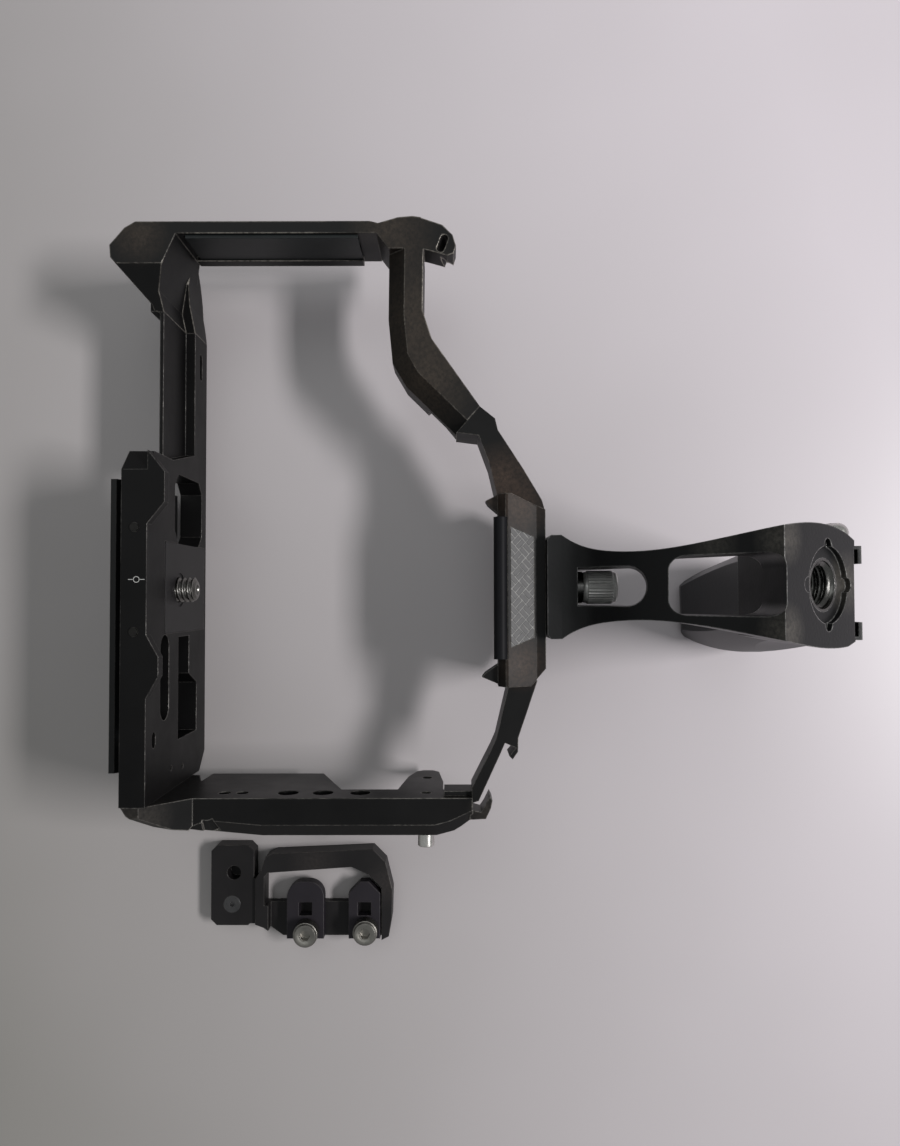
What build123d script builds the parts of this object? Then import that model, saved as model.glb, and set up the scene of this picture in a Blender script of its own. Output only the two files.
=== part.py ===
"""Camera cage with a lift-off top handle and a loose cable clamp, in millimetres.

The cage lies on its back: +Z points out of the lens side, +Y points up in use towards the top
handle and +X towards the port side. The origin is the axis of the camera screw where it leaves
the camera seat of the base plate.
"""
from build123d import *
import os
from math import atan2, cos, hypot, pi, sin

# ---- fits and standard hardware -------------------------------------------------------------
RUN_FIT = 0.05            # radial clearance of a shaft that turns or slides in its hole
FACE_GAP = 0.10           # gap between flat faces of pieces that can part
SEAT_GAP = 0.05           # gap round a piece let into a pocket
QUARTER_R = 3.175         # 1/4-20 major radius
QUARTER_TAP_R = 2.55      # wall of a 1/4-20 tapped hole
THREE_EIGHTHS_R = 3.97    # wall of a 3/8-16 tapped hole
SMALL_SCREW_R = 1.25      # M2.5 frame screw shank
SMALL_HEAD_R = 2.3
SMALL_HEAD_T = 1.4
HEX_ACROSS = 1.5          # socket in the small heads
HEX_DEPTH = 0.84
PAST = 1.0                # how far a cutter runs past the face it cuts
THROUGH = 120.0           # length of a cut that goes right through the handle

# ---- cage frame -----------------------------------------------------------------------------
REST_Z = -23.0            # plane the cage lies on
FRONT_Z = 15.0            # front plane of the uprights and the top bridge
GRIP_X = -89.1            # outer face of the grip-side upright
GRIP_T = 2.9
GRIP_DEPTH = 18.0         # front to back of the upright
PORT_X = 49.7             # inner face of the port wall
PORT_T = 9.6
WALL_TOP_Y = 74.6
ROOT = 0.6                # how far a rib or arm runs into what carries it

# base plate
BASE_T = 6.0
BASE_FRONT_Z = 24.5
BASE_GRIP_X = -32.5       # where the wide plate narrows to the grip bar
BASE_CORNER = 5.0         # chamfers of the wide plate
BAR_FRONT_Z = 6.0         # front edge of the grip bar
BAR_END_X = -70.0         # joint with the grip-side frame
BAR_EDGE_T = 0.9          # the bar is bevelled below down to this at its front edge
BAR_BEVEL = 9.0
BAR_SLOT_W = 2.4
BAR_SLOT_LENGTH = 7.2
BAR_SLOT_X = -62.0
RECESS_DEPTH = 2.6        # the bar's front part lies lower than the seat
RECESS_BACK_Z = -12.0
RECESS_SLOPE = 4.0        # its end slants by this much
STOP_T = 3.0              # raised front stops that locate the camera
STOP_H = 4.0
STOP_1 = (-32.0, -15.0)   # along X
STOP_2 = (10.5, 25.0)
STOP_2_H = 2.8
STOP_SLOPE = 5.0
WINDOW = (-29.5, -11.8, -19.0, 4.5)       # x0, x1, z0, z1
WINDOW_CHAMFER = 3.0
FRONT_SLOT = (11.0, 31.7, 8.2, 14.6)
REAR_SLOT = (12.0, 38.0, -15.0, 1.0)
REAR_SLOT_STEP_X = 22.0
REAR_SLOT_NARROW_Z = -8.0
REAR_SLOT_SLOPE = 3.0
OVAL_SLOT = (33.4, 37.2, 17.6, 20.2)
DIMPLES = ((44.3, 6.0), (45.5, -3.0))
DIMPLE_R = 0.7
DIMPLE_DEPTH = 0.6

# camera pad and captive camera screw
PAD = (-11.8, 10.8, -21.5, 11.0)
PAD_T = 1.2
PAD_GROOVE = 0.9          # open groove along the pad's front edge
SCREW_TIP = 4.5           # thread standing out of the seat
SCREW_TIP_CUT = 0.6
SCREW_HEAD_R = 6.4
SCREW_HEAD_T = 2.6
SCREW_SLOT_W = 1.4
SCREW_SLOT_DEPTH = 1.2
SCREW_RING_LOW = 1.0      # ring pocket starts this far under the pad
SCREW_NECK_R = 2.4        # neck in which the ring runs
SCREW_RELIEF_R = 2.9      # plain shank between the neck and the thread
PAD_DISH_R = 4.3          # shallow dish round the screw in the pad
PAD_DISH_T = 0.3
SCREW_RING_R = 4.6
SCREW_RING_T = 0.9

# dovetail foot
FOOT_X = (-26.0, 43.0)
FOOT_T = 4.5
FOOT_HALF_W = 19.0
FOOT_NECK_HALF_W = 16.5
FOOT_TOP_LIP = 1.2
FOOT_EDGE = 1.3
FOOT_SCREW_XZ = ((-21.0, 10.5), (-8.0, -13.0), (36.5, 10.5), (40.3, -10.0))
FOOT_SCREW_BITE = 4.0     # length in the base
FOOT_TRIPOD_X = 22.0      # 1/4 inch tripod hole
FOOT_HEAD_GAP = 0.3       # round and over the camera screw's head

# bright pins in the base's front face
FRONT_PIN_X = (-14.2, 9.8)
FRONT_PIN_Y = -2.9
FRONT_PIN_R = 1.0
FRONT_PIN_LENGTH = 5.0
FRONT_PIN_OUT = 0.4

# grip-side frame
GRIP_CORNER = ((-86.2, 3.0), (-89.1, 3.0), (-89.1, -6.8), (-87.6, -9.4), (-83.4, -13.0),
               (-80.4, -12.8), (-71.4, -5.2), (-70.0, -5.0), (-70.0, -2.6), (-74.0, -2.6))
HEEL_CURVE = ((-87.6, -5.0), (-83.0, -12.0), (-76.0, -19.5), (-70.0, -23.0))
HEEL_TOP_Y = 1.8          # the heel sweeps from the bar's rear strip to the upright
HEEL_TOE = 6.0
CORNER_TOP_Y = 4.0        # the dipped corner and the lining's rim meet here
CORNER_STEP = 4.0         # the corner's lower back edge is cut off by this much
CORNER_SLOPE = 9.0        # slant down to the bar's front edge
BASE_LAP_T = 1.8          # tongue of the base under the grip-side frame
BASE_LAP_Z = -14.0
BASE_LAP_SCREW = (4.5, 3.1)               # distance past the joint, length
BASE_LAP_SCREW_Z = (-8.0, 1.0)
UPRIGHT_LOW_Y = -2.0
UPRIGHT_TOP_Y = 47.0
HEAD_OUTLINE = ((-89.1, 50.0), (-88.6, 52.0), (-90.0, 56.8), (-90.3, 60.4), (-90.0, 62.4),
                (-82.4, 62.8), (-82.4, 54.5), (-86.2, 51.6))
LUG_OUTLINE = ((-90.0, 62.0), (-88.1, 67.6), (-85.6, 70.1), (-83.0, 70.9), (-81.2, 70.3),
               (-80.6, 68.8), (-81.9, 64.2), (-82.4, 62.0))
LUG_T = 8.0
LUG_SLOT = (-83.6, 67.6)  # middle of the strap eye
LUG_SLOT_LENGTH = 4.4
LUG_SLOT_W = 1.8
EYE_DIR = (0.2, 0.25, -1) # the strap eye is cut at a slant
EYE_ALONG = (1, -0.4, 0.1)
ARM_LOWER = ((-82.4, 54.5), (-66.1, 54.3), (-55.4, 55.3), (-49.7, 58.6), (-37.6, 70.9))
ARM_UPPER = ((-43.9, 76.6), (-60.4, 65.0), (-67.3, 62.8), (-82.4, 63.0))
ARM_ELBOW = (-55.2, 61.8)
ARM_STEP = (-40.8, 73.8)
ARM_BACK_Z = 2.0
HEAD_BACK_STEP = 4.0      # the head reaches this far behind the arm
ARM_RIDGE = 4.0           # bevel that makes the ridge along the arm's front
THIN_LOWER = ((-37.6, 70.9), (-36.9, 76.3), (-29.6, 79.0), (-24.0, 80.3))
THIN_UPPER = ((-21.3, 91.4), (-28.6, 87.1), (-38.2, 80.9), (-41.0, 80.2), (-43.9, 76.6))
LAP_LENGTH = 9.0
LAP_W = 7.8
LAP_Z = 8.0               # parting plane of the arm's lap joint
ARM_SCREW_BACK = (2.6, 6.4)
ARM_SCREW_LENGTH = 9.5
RIM_T = 1.2               # rim round the pad on the upright's inner face
RIM_W = 3.5
LINING_T = 0.84           # lining behind the rim
LINING_LOW_Y = 5.0
LINING_FRONT = 1.0        # it ends this far behind the front plane

# top bridge
BRIDGE_HALF_W = 22.6
BRIDGE_TOP_Y = 92.2
BRIDGE_T = 6.4
BRIDGE_BACK_Z = -12.0
BRIDGE_LOW_Y = 80.8
BRIDGE_FACE_LOW = (83.1, 18.2)            # y, z of the inlay face's lower edge
BRIDGE_FACE_TOP = (90.0, 15.2)
BRIDGE_TOP_HALF_W = 19.0
BRIDGE_APRON_T = 4.2
BRIDGE_EDGE = (1.6, 2.4)  # bevel of the lower front edge, up and back
BRIDGE_APRON_FALL = 4.8
BRIDGE_SHOULDER_Y = (84.0, 88.6)          # the ends lean in above these
BRIDGE_PORT_OUT = 0.6     # the port end stands this much further out
LUG_DROP = (2.9, 3.8)     # pointed lugs under the ends of the bridge, grip side then port side
LUG_W = 5.0
LUG_RISE = (0.8, 0.5, 0.3)                # shape of their tip, as shares of drop and width
PORT_ARM = ((BRIDGE_HALF_W - ROOT, 83.6), (35.5, 80.4), (38.2, 79.2), (42.3, 77.1), (47.4, 74.5),
            (PORT_X, 74.5), (PORT_X, WALL_TOP_Y), (PORT_X + 1.3, WALL_TOP_Y), (50.5, 76.1),
            (40.2, 80.9), (36.8, 82.4), (37.9, 85.0), (38.5, 84.6), (39.9, 83.4), (40.7, 84.2),
            (38.9, 85.5), (35.5, 85.6), (BRIDGE_HALF_W - ROOT, 90.2))
STRAP_BACK_Z = 5.5
STRAP_FRONT = 0.5         # the hooks end this far behind the front plane
HOOK_INSET = 1.0
BRIDGE_FOOT_FRONT = 2.0
BRIDGE_FOOT_T = 1.2
BRIDGE_FOOT_Y = (67.8, 75.4)
LOWER_HOOK = ((52.6, 74.0), (53.3, 76.6), (51.8, 77.6), (49.4, 78.8), (50.6, 79.4),
              (52.4, 79.0), (54.9, 77.8), (55.1, 74.0))

# bumper bar and woven inlay
BUMPER_R = 1.7
BUMPER_X = (-17.0, 16.6)
BUMPER_UP = 0.5           # its middle stands this far over the edge that it guards
BUMPER_Y = BRIDGE_LOW_Y + BUMPER_UP
BUMPER_Z = 17.4
INLAY_LOW_HALF_W = 14.2
INLAY_TOP_HALF_W = 12.0
INLAY_T = 0.9
INLAY_MARGIN = 0.7

# port wall
WALL_FRONT = ((49.7, -5.6), (51.6, -4.4), (55.0, 0.5), (58.0, 10.0), (59.3, 24.0), (59.3, 66.0),
              (58.2, 70.2), (57.1, 71.9), (54.9, WALL_TOP_Y), (49.7, WALL_TOP_Y))
WALL_FOOT_NOSE = (52.2, 14.0)             # x at the front of the foot, z where the bevel starts
WALL_BACK_Z = 5.6
WALL_FOOT_Y = 8.0         # above this the wall is narrow
WALL_FOOT_BACK_Z = -12.0
WALL_FOOT_KNEE_Y = (-1.5, 2.0)            # the foot's slants start here, front and back
WEB_T = 2.6               # thin ear and tab behind the wall
TAB_Y = (5.0, 43.0)
TAB_BACK_Z = -14.0
TAB_SLOPE = 8.0
EAR_OUTLINE = ((56.0, 7.6), (58.2, -10.0), (60.2, -16.9), (62.0, -18.2), (64.6, -18.1),
               (66.2, -16.0), (67.5, -3.0), (67.5, 7.6))
EAR_HOLE_R = 1.3
EAR_HOLE = (63.2, -8.3)   # y, z
WALL_HOLE_Z = 9.2
QUARTER_HOLES_Y = (29.7, 38.2, 47.3)
PIN_HOLES_Y = (14.2, 18.5)
PIN_HOLE_R = 1.5
WALL_BEVEL = 3.2          # long bevel along the outer front edge
WALL_EDGE = ((61.4, 3.0), (58.2, 12.0), (59.3, 24.0), (59.3, 66.0), (58.2, 70.2), (56.0, 75.0))
WALL_SCREW_SEAT = 1.6     # the foot's screws sit this far out of the joint
WALL_SCREW_LENGTH = 8.0
WALL_SCREW_Y = -3.0
WALL_SCREW_Z = (0.0, 12.0)
SIDE_SCREW_Y = 63.4
SIDE_SCREW_R = 2.0
SIDE_SCREW_HEAD_T = 3.2
SIDE_SCREW_CUT = 0.3
SIDE_SCREW_SOCKET = 1.0

# ---- top handle -----------------------------------------------------------------------------
HANDLE_X = -0.4
HANDLE_FOOT_HALF_W = 12.3
HANDLE_FOOT_T = 7.0
FOOT_CUT = 0.9
FOOT_KNEE = 3.4           # above this the flank sweeps in to the waist
HANDLE_FOOT_BACK_Z = -10.0
HANDLE_HEEL_RISE = 1.5
HANDLE_LEFT = ((8.1, 105.0), (11.0, 131.0), (10.7, 151.8), (8.9, 155.2))      # flank on the grip side
HANDLE_RIGHT = ((8.1, 105.0), (9.9, 129.0), (12.7, 151.8), (11.4, 155.2))    # it leans to the port side
HANDLE_FOOT_FRONT_Z = 18.0
POST_FRONT = (105.0, 26.2)                # y, z on the front of the leaning post
HANDLE_CHIN = (132.7, 58.5)               # y, z where the post meets the slanted face
HANDLE_BROW = (154.2, 40.6)               # y, z where the slanted face meets the top
HANDLE_TOP_Y = 155.2
GRIP_LOW_Y = 133.2
GRIP_BACK_Z = REST_Z
GRIP_BELLY_HALF_W = 6.0   # the underside is narrow
GRIP_HALF_W = 12.4
GRIP_TOP_HALF_W = 11.4
GRIP_TURN = -5.3          # degrees by which the grip is turned towards the port side
GRIP_SHIFT = 1.1
GRIP_TAIL = 6.0           # length of its rounded tail
GRIP_WIDEST_Y = 146.0
GRIP_BELLY_RISE = 1.6
GRIP_JOINT_Z = 30.0
GRIP_END_HALF_W = 10.2
GRIP_WALL = 2.2
CORE_HALF_W = 5.4         # square beam inside the grip cover
CORE_LOW_Y = 138.6
CORE_LENGTH = 36.0
HEAD_BACK_Z = 45.0        # back of the post under the head
POST_BACK = (115.0, 17.0)                 # y, z on the back of the leaning post

# knob slot, captive thumbscrew and its ring
KNOB_Z = 8.0
KNOB_R = 4.1
KNOB_H = 8.4
KNOB_GAP = 2.6            # under the drum, mostly taken up by its washer
KNOB_RIBS = 30
KNOB_RIB = 0.25
KNOB_LIFT = 3.81          # three turns of the stud free it
SLOT_HALF_W = 4.5
SLOT_ROOF = (112.4, 33.0)                 # y, z of the roof's front edge
SLOT_RISE = 0.21          # the roof climbs this much per mm towards the back
STUD_LENGTH = KNOB_LIFT - 0.1             # thread that enters the bridge
STUD_NECK_R = 2.3
KNOB_RING_R = 3.9
KNOB_RING_T = 2.4

# big window in the post
WINDOW_HALF_W = 6.2
WINDOW_LOW_Y = 115.4
WINDOW_CORNER = 3.0

# 3/8 inch front socket
SOCKET_R = 7.9
SOCKET_UP = 2.8           # above the middle of the slanted face
SOCKET_DEPTH = 1.2
SOCKET_NOTCH_R = 1.5
BUSH_R = 5.4
BUSH_LENGTH = 9.0

# cold shoe on the head
SHOE_LENGTH = 19.0
SHOE_X = 1.2
SHOE_GAP = 12.4           # between the lips
SHOE_SLOT_W = 18.6
SHOE_SLOT_H = 2.0
SHOE_LIP_T = 0.8
SHOE_FLOOR_T = 1.6
SHOE_WALL = 0.7
SHOE_BACK = 2.4           # its front end lies this far behind the brow
SHOE_SCREW_LENGTH = 5.0
SHOE_PROUD = 1.6
SHOE_SCREW_Z = 5.2        # either side of the shoe's middle

# handle pins and side screw
HANDLE_PIN_SPREAD = 8.0
HANDLE_PIN_R = 1.25
HANDLE_PIN_OUT = 2.4
HANDLE_PIN_IN = 3.4
PIN_END_GAP = 0.8
HANDLE_PIN_Z = 6.0
FLANK_SCREW_Y = 150.6
FLANK_SCREW_R = 2.9
FLANK_SCREW_HEAD_T = 2.6
FLANK_SCREW_Z = 39.2
FLANK_SEAT = 10.6         # its spot face, from the handle's middle
FLANK_SCREW_LENGTH = 5.0
FLANK_SCREW_ROUND = 1.56
FLANK_SOCKET = (3.0, 1.3) # across its corners, depth

# ---- cable clamp, lying beside the port side -------------------------------------------------
CLAMP_T = 6.0
CLAMP_EAR = (70.1, 91.9, 3.5, 15.3)       # x0, x1, y0, y1
CLAMP_EAR_CUT = 1.6
CLAMP_NECK = (79.2, 91.4) # along X, where the ear runs into the ring
CLAMP_EAR_T = 5.0
CLAMP_HOLE = (77.6, 9.8)
CLAMP_HOLE_R = 1.9
CLAMP_HOLE_DEPTH = 4.0
CLAMP_SCREW = (86.2, 9.3)
CLAMP_OUTLINE = ((79.2, 15.8), (76.7, 17.4), (73.1, 18.6), (72.1, 20.9), (71.0, 48.0),
                 (74.5, 51.5), (82.2, 53.4), (90.0, 53.2), (94.6, 52.4), (95.6, 50.4),
                 (95.6, 22.9), (92.3, 18.2), (91.4, 15.8))
CLAMP_WINDOW = ((77.4, 19.1), (78.4, 18.3), (86.3, 18.3), (86.3, 50.4), (81.3, 50.4),
                (77.9, 46.8), (75.8, 42.2))
CLAMP_SHELF = (86.3, 19.4, 50.4)          # inner x, then low and high y
CLAMP_SHELF_T = 2.4
JAW_W = (10.1, 8.6)
JAW_Y = (24.5, 41.4)
JAW_LENGTH = 15.4
JAW_T = 3.4
JAW_NOSE_OUT = 6.5        # how far a jaw's nose stands out of the shelf
JAW_X = CLAMP_SHELF[0] - JAW_NOSE_OUT
JAW_NOSE_CUT = 3.2
JAW_NOSE_ROUND = 4.24
JAW_WINDOW = 3.6
JAW_WINDOW_IN = 7.4       # from the nose to the middle of the window
JAW_WINDOW_X = JAW_X + JAW_WINDOW_IN
THUMB_IN = (13.1, 12.6)   # from the nose to each thumbscrew
THUMB_Y = (30.1, 46.2)
THUMB_PLACES = tuple((JAW_X + along, y) for along, y in zip(THUMB_IN, THUMB_Y))
THUMB_R = 3.3
THUMB_H = 4.2
THUMB_RIBS = 24
THUMB_RIB = 0.2
THUMB_SHANK_R = 1.3
THUMB_SOCKET = 2.5
THUMB_SOCKET_DEPTH = 2.0
THUMB_END_GAP = 0.4       # the shank ends this far inside the shelf


# ---- helpers that place flat outlines --------------------------------------------------------
def outline(points):
    return make_face(Polyline(*points, close=True))


def front_slab(points, z_low, z_high):
    """Front-view outline (X, Y), thick along Z."""
    return extrude(Pos(0, 0, z_low) * outline(points), z_high - z_low)


def side_slab(points, x_low, x_high):
    """Side-view outline (Y, Z), thick along X."""
    return extrude(Plane.YZ.offset(x_low) * outline(points), x_high - x_low)


def plan_slab(points, y_low, y_high):
    """Plan outline (X, Z), thick along Y."""
    return extrude(Plane.XZ.offset(-y_high) * outline(points), y_high - y_low)


def rod_y(x, z, radius, y_low, y_high):
    return extrude(Plane.XZ.offset(-y_high) * Pos(x, z) * Circle(radius), y_high - y_low)


def rod_x(y, z, radius, x_low, x_high):
    return extrude(Plane.YZ.offset(x_low) * Pos(y, z) * Circle(radius), x_high - x_low)


def rod_z(x, y, radius, z_low, z_high):
    return extrude(Pos(x, y, z_low) * Circle(radius), z_high - z_low)


def block(x, y, z):
    """Box between two corners given as (low, high) on each axis."""
    size = (x[1] - x[0], y[1] - y[0], z[1] - z[0])
    middle = ((x[0] + x[1]) / 2, (y[0] + y[1]) / 2, (z[0] + z[1]) / 2)
    return Pos(*middle) * Box(*size)


def plan_solid(edges, y_low, y_high):
    """Closed curved plan outline, thick along Y."""
    return extrude(Plane.XZ.offset(-y_high) * make_face(edges), y_high - y_low)


def chamfered_rect(x0, x1, y0, y1, cut):
    """Corner points of a rectangle with cut corners."""
    return [(x0 + cut, y0), (x1 - cut, y0), (x1, y0 + cut), (x1, y1 - cut),
            (x1 - cut, y1), (x0 + cut, y1), (x0, y1 - cut), (x0, y0 + cut)]


def strip_outline(points, widths):
    """Closed outline of a band whose centre line is points, with mitred corners."""
    left, right = [], []
    last = len(points) - 1
    for i, (x, y) in enumerate(points):
        ahead = points[min(i + 1, last)]
        behind = points[max(i - 1, 0)]
        turn_in = atan2(y - behind[1], x - behind[0]) if i else None
        turn_out = atan2(ahead[1] - y, ahead[0] - x) if i < last else turn_in
        turn_in = turn_out if turn_in is None else turn_in
        angle = (turn_in + turn_out) / 2 + pi / 2
        reach = widths[i] / 2 / cos((turn_out - turn_in) / 2)
        left.append((x + reach * cos(angle), y + reach * sin(angle)))
        right.append((x - reach * cos(angle), y - reach * sin(angle)))
    return left + right[::-1]


def ribbed(radius, depth, count):
    """Round outline with straight knurl ribs."""
    turn = 2 * pi / (2 * count)
    return outline([((radius - depth * (i % 2)) * cos(turn * i),
                     (radius - depth * (i % 2)) * sin(turn * i)) for i in range(2 * count)])


def sunk_screw(origin, direction, length):
    """Flat-head screw whose head face is centred on origin and whose shank runs along direction."""
    seat = Plane(origin=origin, z_dir=direction)
    head = seat * Pos(0, 0, SMALL_HEAD_T / 2) * Cone(SMALL_HEAD_R, SMALL_SCREW_R, SMALL_HEAD_T)
    shank = seat * Pos(0, 0, length / 2) * Cylinder(SMALL_SCREW_R, length)
    socket = seat * extrude(RegularPolygon(HEX_ACROSS / 2, 6), HEX_DEPTH)
    return head + shank - socket


def sunk_hole(origin, direction, length):
    """The hole that the screw above fills, face to face."""
    seat = Plane(origin=origin, z_dir=direction)
    head = seat * Pos(0, 0, SMALL_HEAD_T / 2) * Cone(SMALL_HEAD_R, SMALL_SCREW_R, SMALL_HEAD_T)
    return head + seat * Pos(0, 0, length / 2) * Cylinder(SMALL_SCREW_R, length)


# ---- screw places shared by the pieces they join ---------------------------------------------
BASE_GRIP_SCREWS = [((BAR_END_X - BASE_LAP_SCREW[0], -BASE_T, z), (0, 1, 0), BASE_LAP_SCREW[1])
                    for z in BASE_LAP_SCREW_Z]
ARM_DIR = hypot(ARM_STEP[0] - ARM_ELBOW[0], ARM_STEP[1] - ARM_ELBOW[1])
ARM_UNIT = ((ARM_STEP[0] - ARM_ELBOW[0]) / ARM_DIR, (ARM_STEP[1] - ARM_ELBOW[1]) / ARM_DIR)


def arm_point(back):
    """Point on the diagonal arm's centre line, a distance back from its step."""
    return (ARM_STEP[0] - back * ARM_UNIT[0], ARM_STEP[1] - back * ARM_UNIT[1])


ARM_SCREWS = [((*arm_point(back), ARM_BACK_Z), (0, 0, 1), ARM_SCREW_LENGTH)
              for back in ARM_SCREW_BACK]
WALL_FOOT_SCREWS = [((PORT_X + WALL_SCREW_SEAT, WALL_SCREW_Y, z), (-1, 0, 0), WALL_SCREW_LENGTH)
                    for z in WALL_SCREW_Z]
FRAME_SCREWS = BASE_GRIP_SCREWS + ARM_SCREWS + WALL_FOOT_SCREWS


# ---- base ------------------------------------------------------------------------------------
def base_plate():
    """Milled plate with the camera seat, two front stops and the bar to the grip side."""
    wide_back = BASE_CORNER
    plan = [(BAR_END_X, REST_Z), (PORT_X - wide_back, REST_Z), (PORT_X, REST_Z + wide_back),
            (PORT_X, BASE_FRONT_Z), (BASE_GRIP_X + BASE_CORNER, BASE_FRONT_Z),
            (BASE_GRIP_X, BASE_FRONT_Z - BASE_CORNER), (BASE_GRIP_X, BAR_FRONT_Z),
            (BAR_END_X, BAR_FRONT_Z)]
    body = plan_slab(plan, -BASE_T, 0)
    for (x0, x1), height in ((STOP_1, STOP_H), (STOP_2, STOP_2_H)):
        stop = [(x0, 0), (x1, 0), (x1 - STOP_SLOPE, height), (x0 + STOP_SLOPE, height)]
        body += front_slab(stop, BASE_FRONT_Z - STOP_T, BASE_FRONT_Z)
    recess = [(BAR_END_X, RECESS_BACK_Z), (BASE_GRIP_X - RECESS_SLOPE, RECESS_BACK_Z),
              (BASE_GRIP_X, BAR_FRONT_Z), (BAR_END_X, BAR_FRONT_Z)]
    body -= plan_slab(recess, -RECESS_DEPTH, 0)
    edge = -RECESS_DEPTH - BAR_EDGE_T
    bevel = [(-BASE_T - PAST, BAR_FRONT_Z - BAR_BEVEL - PAST), (edge, BAR_FRONT_Z),
             (edge, BAR_FRONT_Z + PAST), (-BASE_T - PAST, BAR_FRONT_Z + PAST)]
    body -= side_slab(bevel, BAR_END_X - PAST, BASE_GRIP_X)
    bar_slot = Plane.XZ * Pos(BAR_SLOT_X, (REST_Z + RECESS_BACK_Z) / 2)
    body -= bar_slot * extrude(SlotOverall(BAR_SLOT_LENGTH, BAR_SLOT_W), BASE_T)
    body -= plan_slab(chamfered_rect(*WINDOW, WINDOW_CHAMFER), -BASE_T, 0)
    for x0, x1, z0, z1 in (FRONT_SLOT, OVAL_SLOT):
        slot = SlotOverall(x1 - x0, z1 - z0)
        body -= Plane.XZ * Pos((x0 + x1) / 2, (z0 + z1) / 2) * extrude(slot, BASE_T)
    x0, x1, z0, z1 = REAR_SLOT
    stepped = [(x0, REAR_SLOT_NARROW_Z), (REAR_SLOT_STEP_X, REAR_SLOT_NARROW_Z),
               (REAR_SLOT_STEP_X + REAR_SLOT_SLOPE, z0), (x1, z0), (x1, z1), (x0, z1)]
    body -= plan_slab(stepped, -BASE_T, 0)
    for x, z in DIMPLES:
        body -= rod_y(x, z, DIMPLE_R, -DIMPLE_DEPTH, 0)
    x0, x1, z0, z1 = PAD
    body -= block((x0, x1), (-PAD_T, 0), (z0, z1 + PAD_GROOVE))
    body -= rod_y(0, 0, QUARTER_R + RUN_FIT, -BASE_T, 0)
    body -= rod_y(0, 0, SCREW_RING_R + SEAT_GAP, -BASE_T, -PAD_T - SCREW_RING_LOW)
    for x in FRONT_PIN_X:
        body -= rod_z(x, FRONT_PIN_Y, FRONT_PIN_R, BASE_FRONT_Z - FRONT_PIN_LENGTH, BASE_FRONT_Z)
    for x, z in FOOT_SCREW_XZ:
        body -= rod_y(x, z, SMALL_SCREW_R, -BASE_T, -BASE_T + FOOT_SCREW_BITE)
    for origin, direction, length in WALL_FOOT_SCREWS:
        body -= sunk_hole(origin, direction, length)
    body += base_tongue()
    for origin, direction, length in BASE_GRIP_SCREWS:
        body -= sunk_hole(origin, direction, length)
    return body


def base_tongue():
    """Thin tongue of the bar that laps under the grip-side frame."""
    return block((BAR_END_X - LAP_LENGTH, BAR_END_X), (-BASE_T, BASE_LAP_T - BASE_T),
                 (BASE_LAP_Z, BAR_FRONT_Z))


def camera_pad():
    """Thin seat pad, dished a little round the screw."""
    x0, x1, z0, z1 = PAD
    pad = block((x0 + SEAT_GAP, x1 - SEAT_GAP), (-PAD_T, 0), (z0 + SEAT_GAP, z1))
    pad -= rod_y(0, 0, PAD_DISH_R, -PAD_DISH_T, 0)
    return pad - rod_y(0, 0, QUARTER_R + RUN_FIT, -PAD_T, 0)


def dovetail_foot():
    """Quick-release rail: flared edges, tripod hole and a pocket for the camera screw's head."""
    low, top = -BASE_T - FOOT_T, -BASE_T
    half = [(FOOT_NECK_HALF_W, top), (FOOT_NECK_HALF_W, top - FOOT_TOP_LIP),
            (FOOT_HALF_W, low + FOOT_EDGE), (FOOT_HALF_W, low)]
    section = [(y, z) for z, y in half] + [(y, -z) for z, y in half[::-1]]
    rail = side_slab(section, *FOOT_X)
    rail -= rod_y(0, 0, SCREW_HEAD_R + FOOT_HEAD_GAP, low, low + SCREW_HEAD_T + FOOT_HEAD_GAP)
    rail -= rod_y(0, 0, QUARTER_R + RUN_FIT, low, top)
    rail -= rod_y(FOOT_TRIPOD_X, 0, QUARTER_TAP_R, low, top)
    for origin, direction, length in foot_screw_places():
        rail -= sunk_hole(origin, direction, length)
    return rail


def foot_screw_places():
    low = -BASE_T - FOOT_T
    return [((x, low, z), (0, 1, 0), FOOT_T + FOOT_SCREW_BITE) for x, z in FOOT_SCREW_XZ]


def foot_screws():
    return [sunk_screw(*place) for place in foot_screw_places()]


def front_pins():
    back = BASE_FRONT_Z - FRONT_PIN_LENGTH
    return [rod_z(x, FRONT_PIN_Y, FRONT_PIN_R, back, BASE_FRONT_Z + FRONT_PIN_OUT)
            for x in FRONT_PIN_X]


def camera_screw():
    """Captive 1/4 inch screw: coin-slot head below, relieved neck, thread through the seat."""
    low = -BASE_T - FOOT_T
    neck_top = -PAD_T - SCREW_RING_LOW - RUN_FIT
    screw = rod_y(0, 0, SCREW_HEAD_R, low, low + SCREW_HEAD_T)
    screw += rod_y(0, 0, QUARTER_R, low + SCREW_HEAD_T, -BASE_T)
    screw += rod_y(0, 0, SCREW_NECK_R, -BASE_T, neck_top)
    screw += rod_y(0, 0, SCREW_RELIEF_R, neck_top, 0)
    screw += rod_y(0, 0, QUARTER_R, 0, SCREW_TIP)
    tip_edge = screw.edges().filter_by(GeomType.CIRCLE).sort_by(Axis.Y)[-1]
    screw = chamfer(tip_edge, SCREW_TIP_CUT)
    half = SCREW_HEAD_R + PAST
    return screw - block((-half, half), (low, low + SCREW_SLOT_DEPTH),
                         (-SCREW_SLOT_W / 2, SCREW_SLOT_W / 2))


def camera_screw_ring():
    """Retaining ring that runs in the screw's neck."""
    top = -PAD_T - SCREW_RING_LOW - 2 * RUN_FIT
    ring = rod_y(0, 0, SCREW_RING_R, top - SCREW_RING_T, top)
    return ring - rod_y(0, 0, SCREW_NECK_R + RUN_FIT, top - SCREW_RING_T, top)


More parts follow.
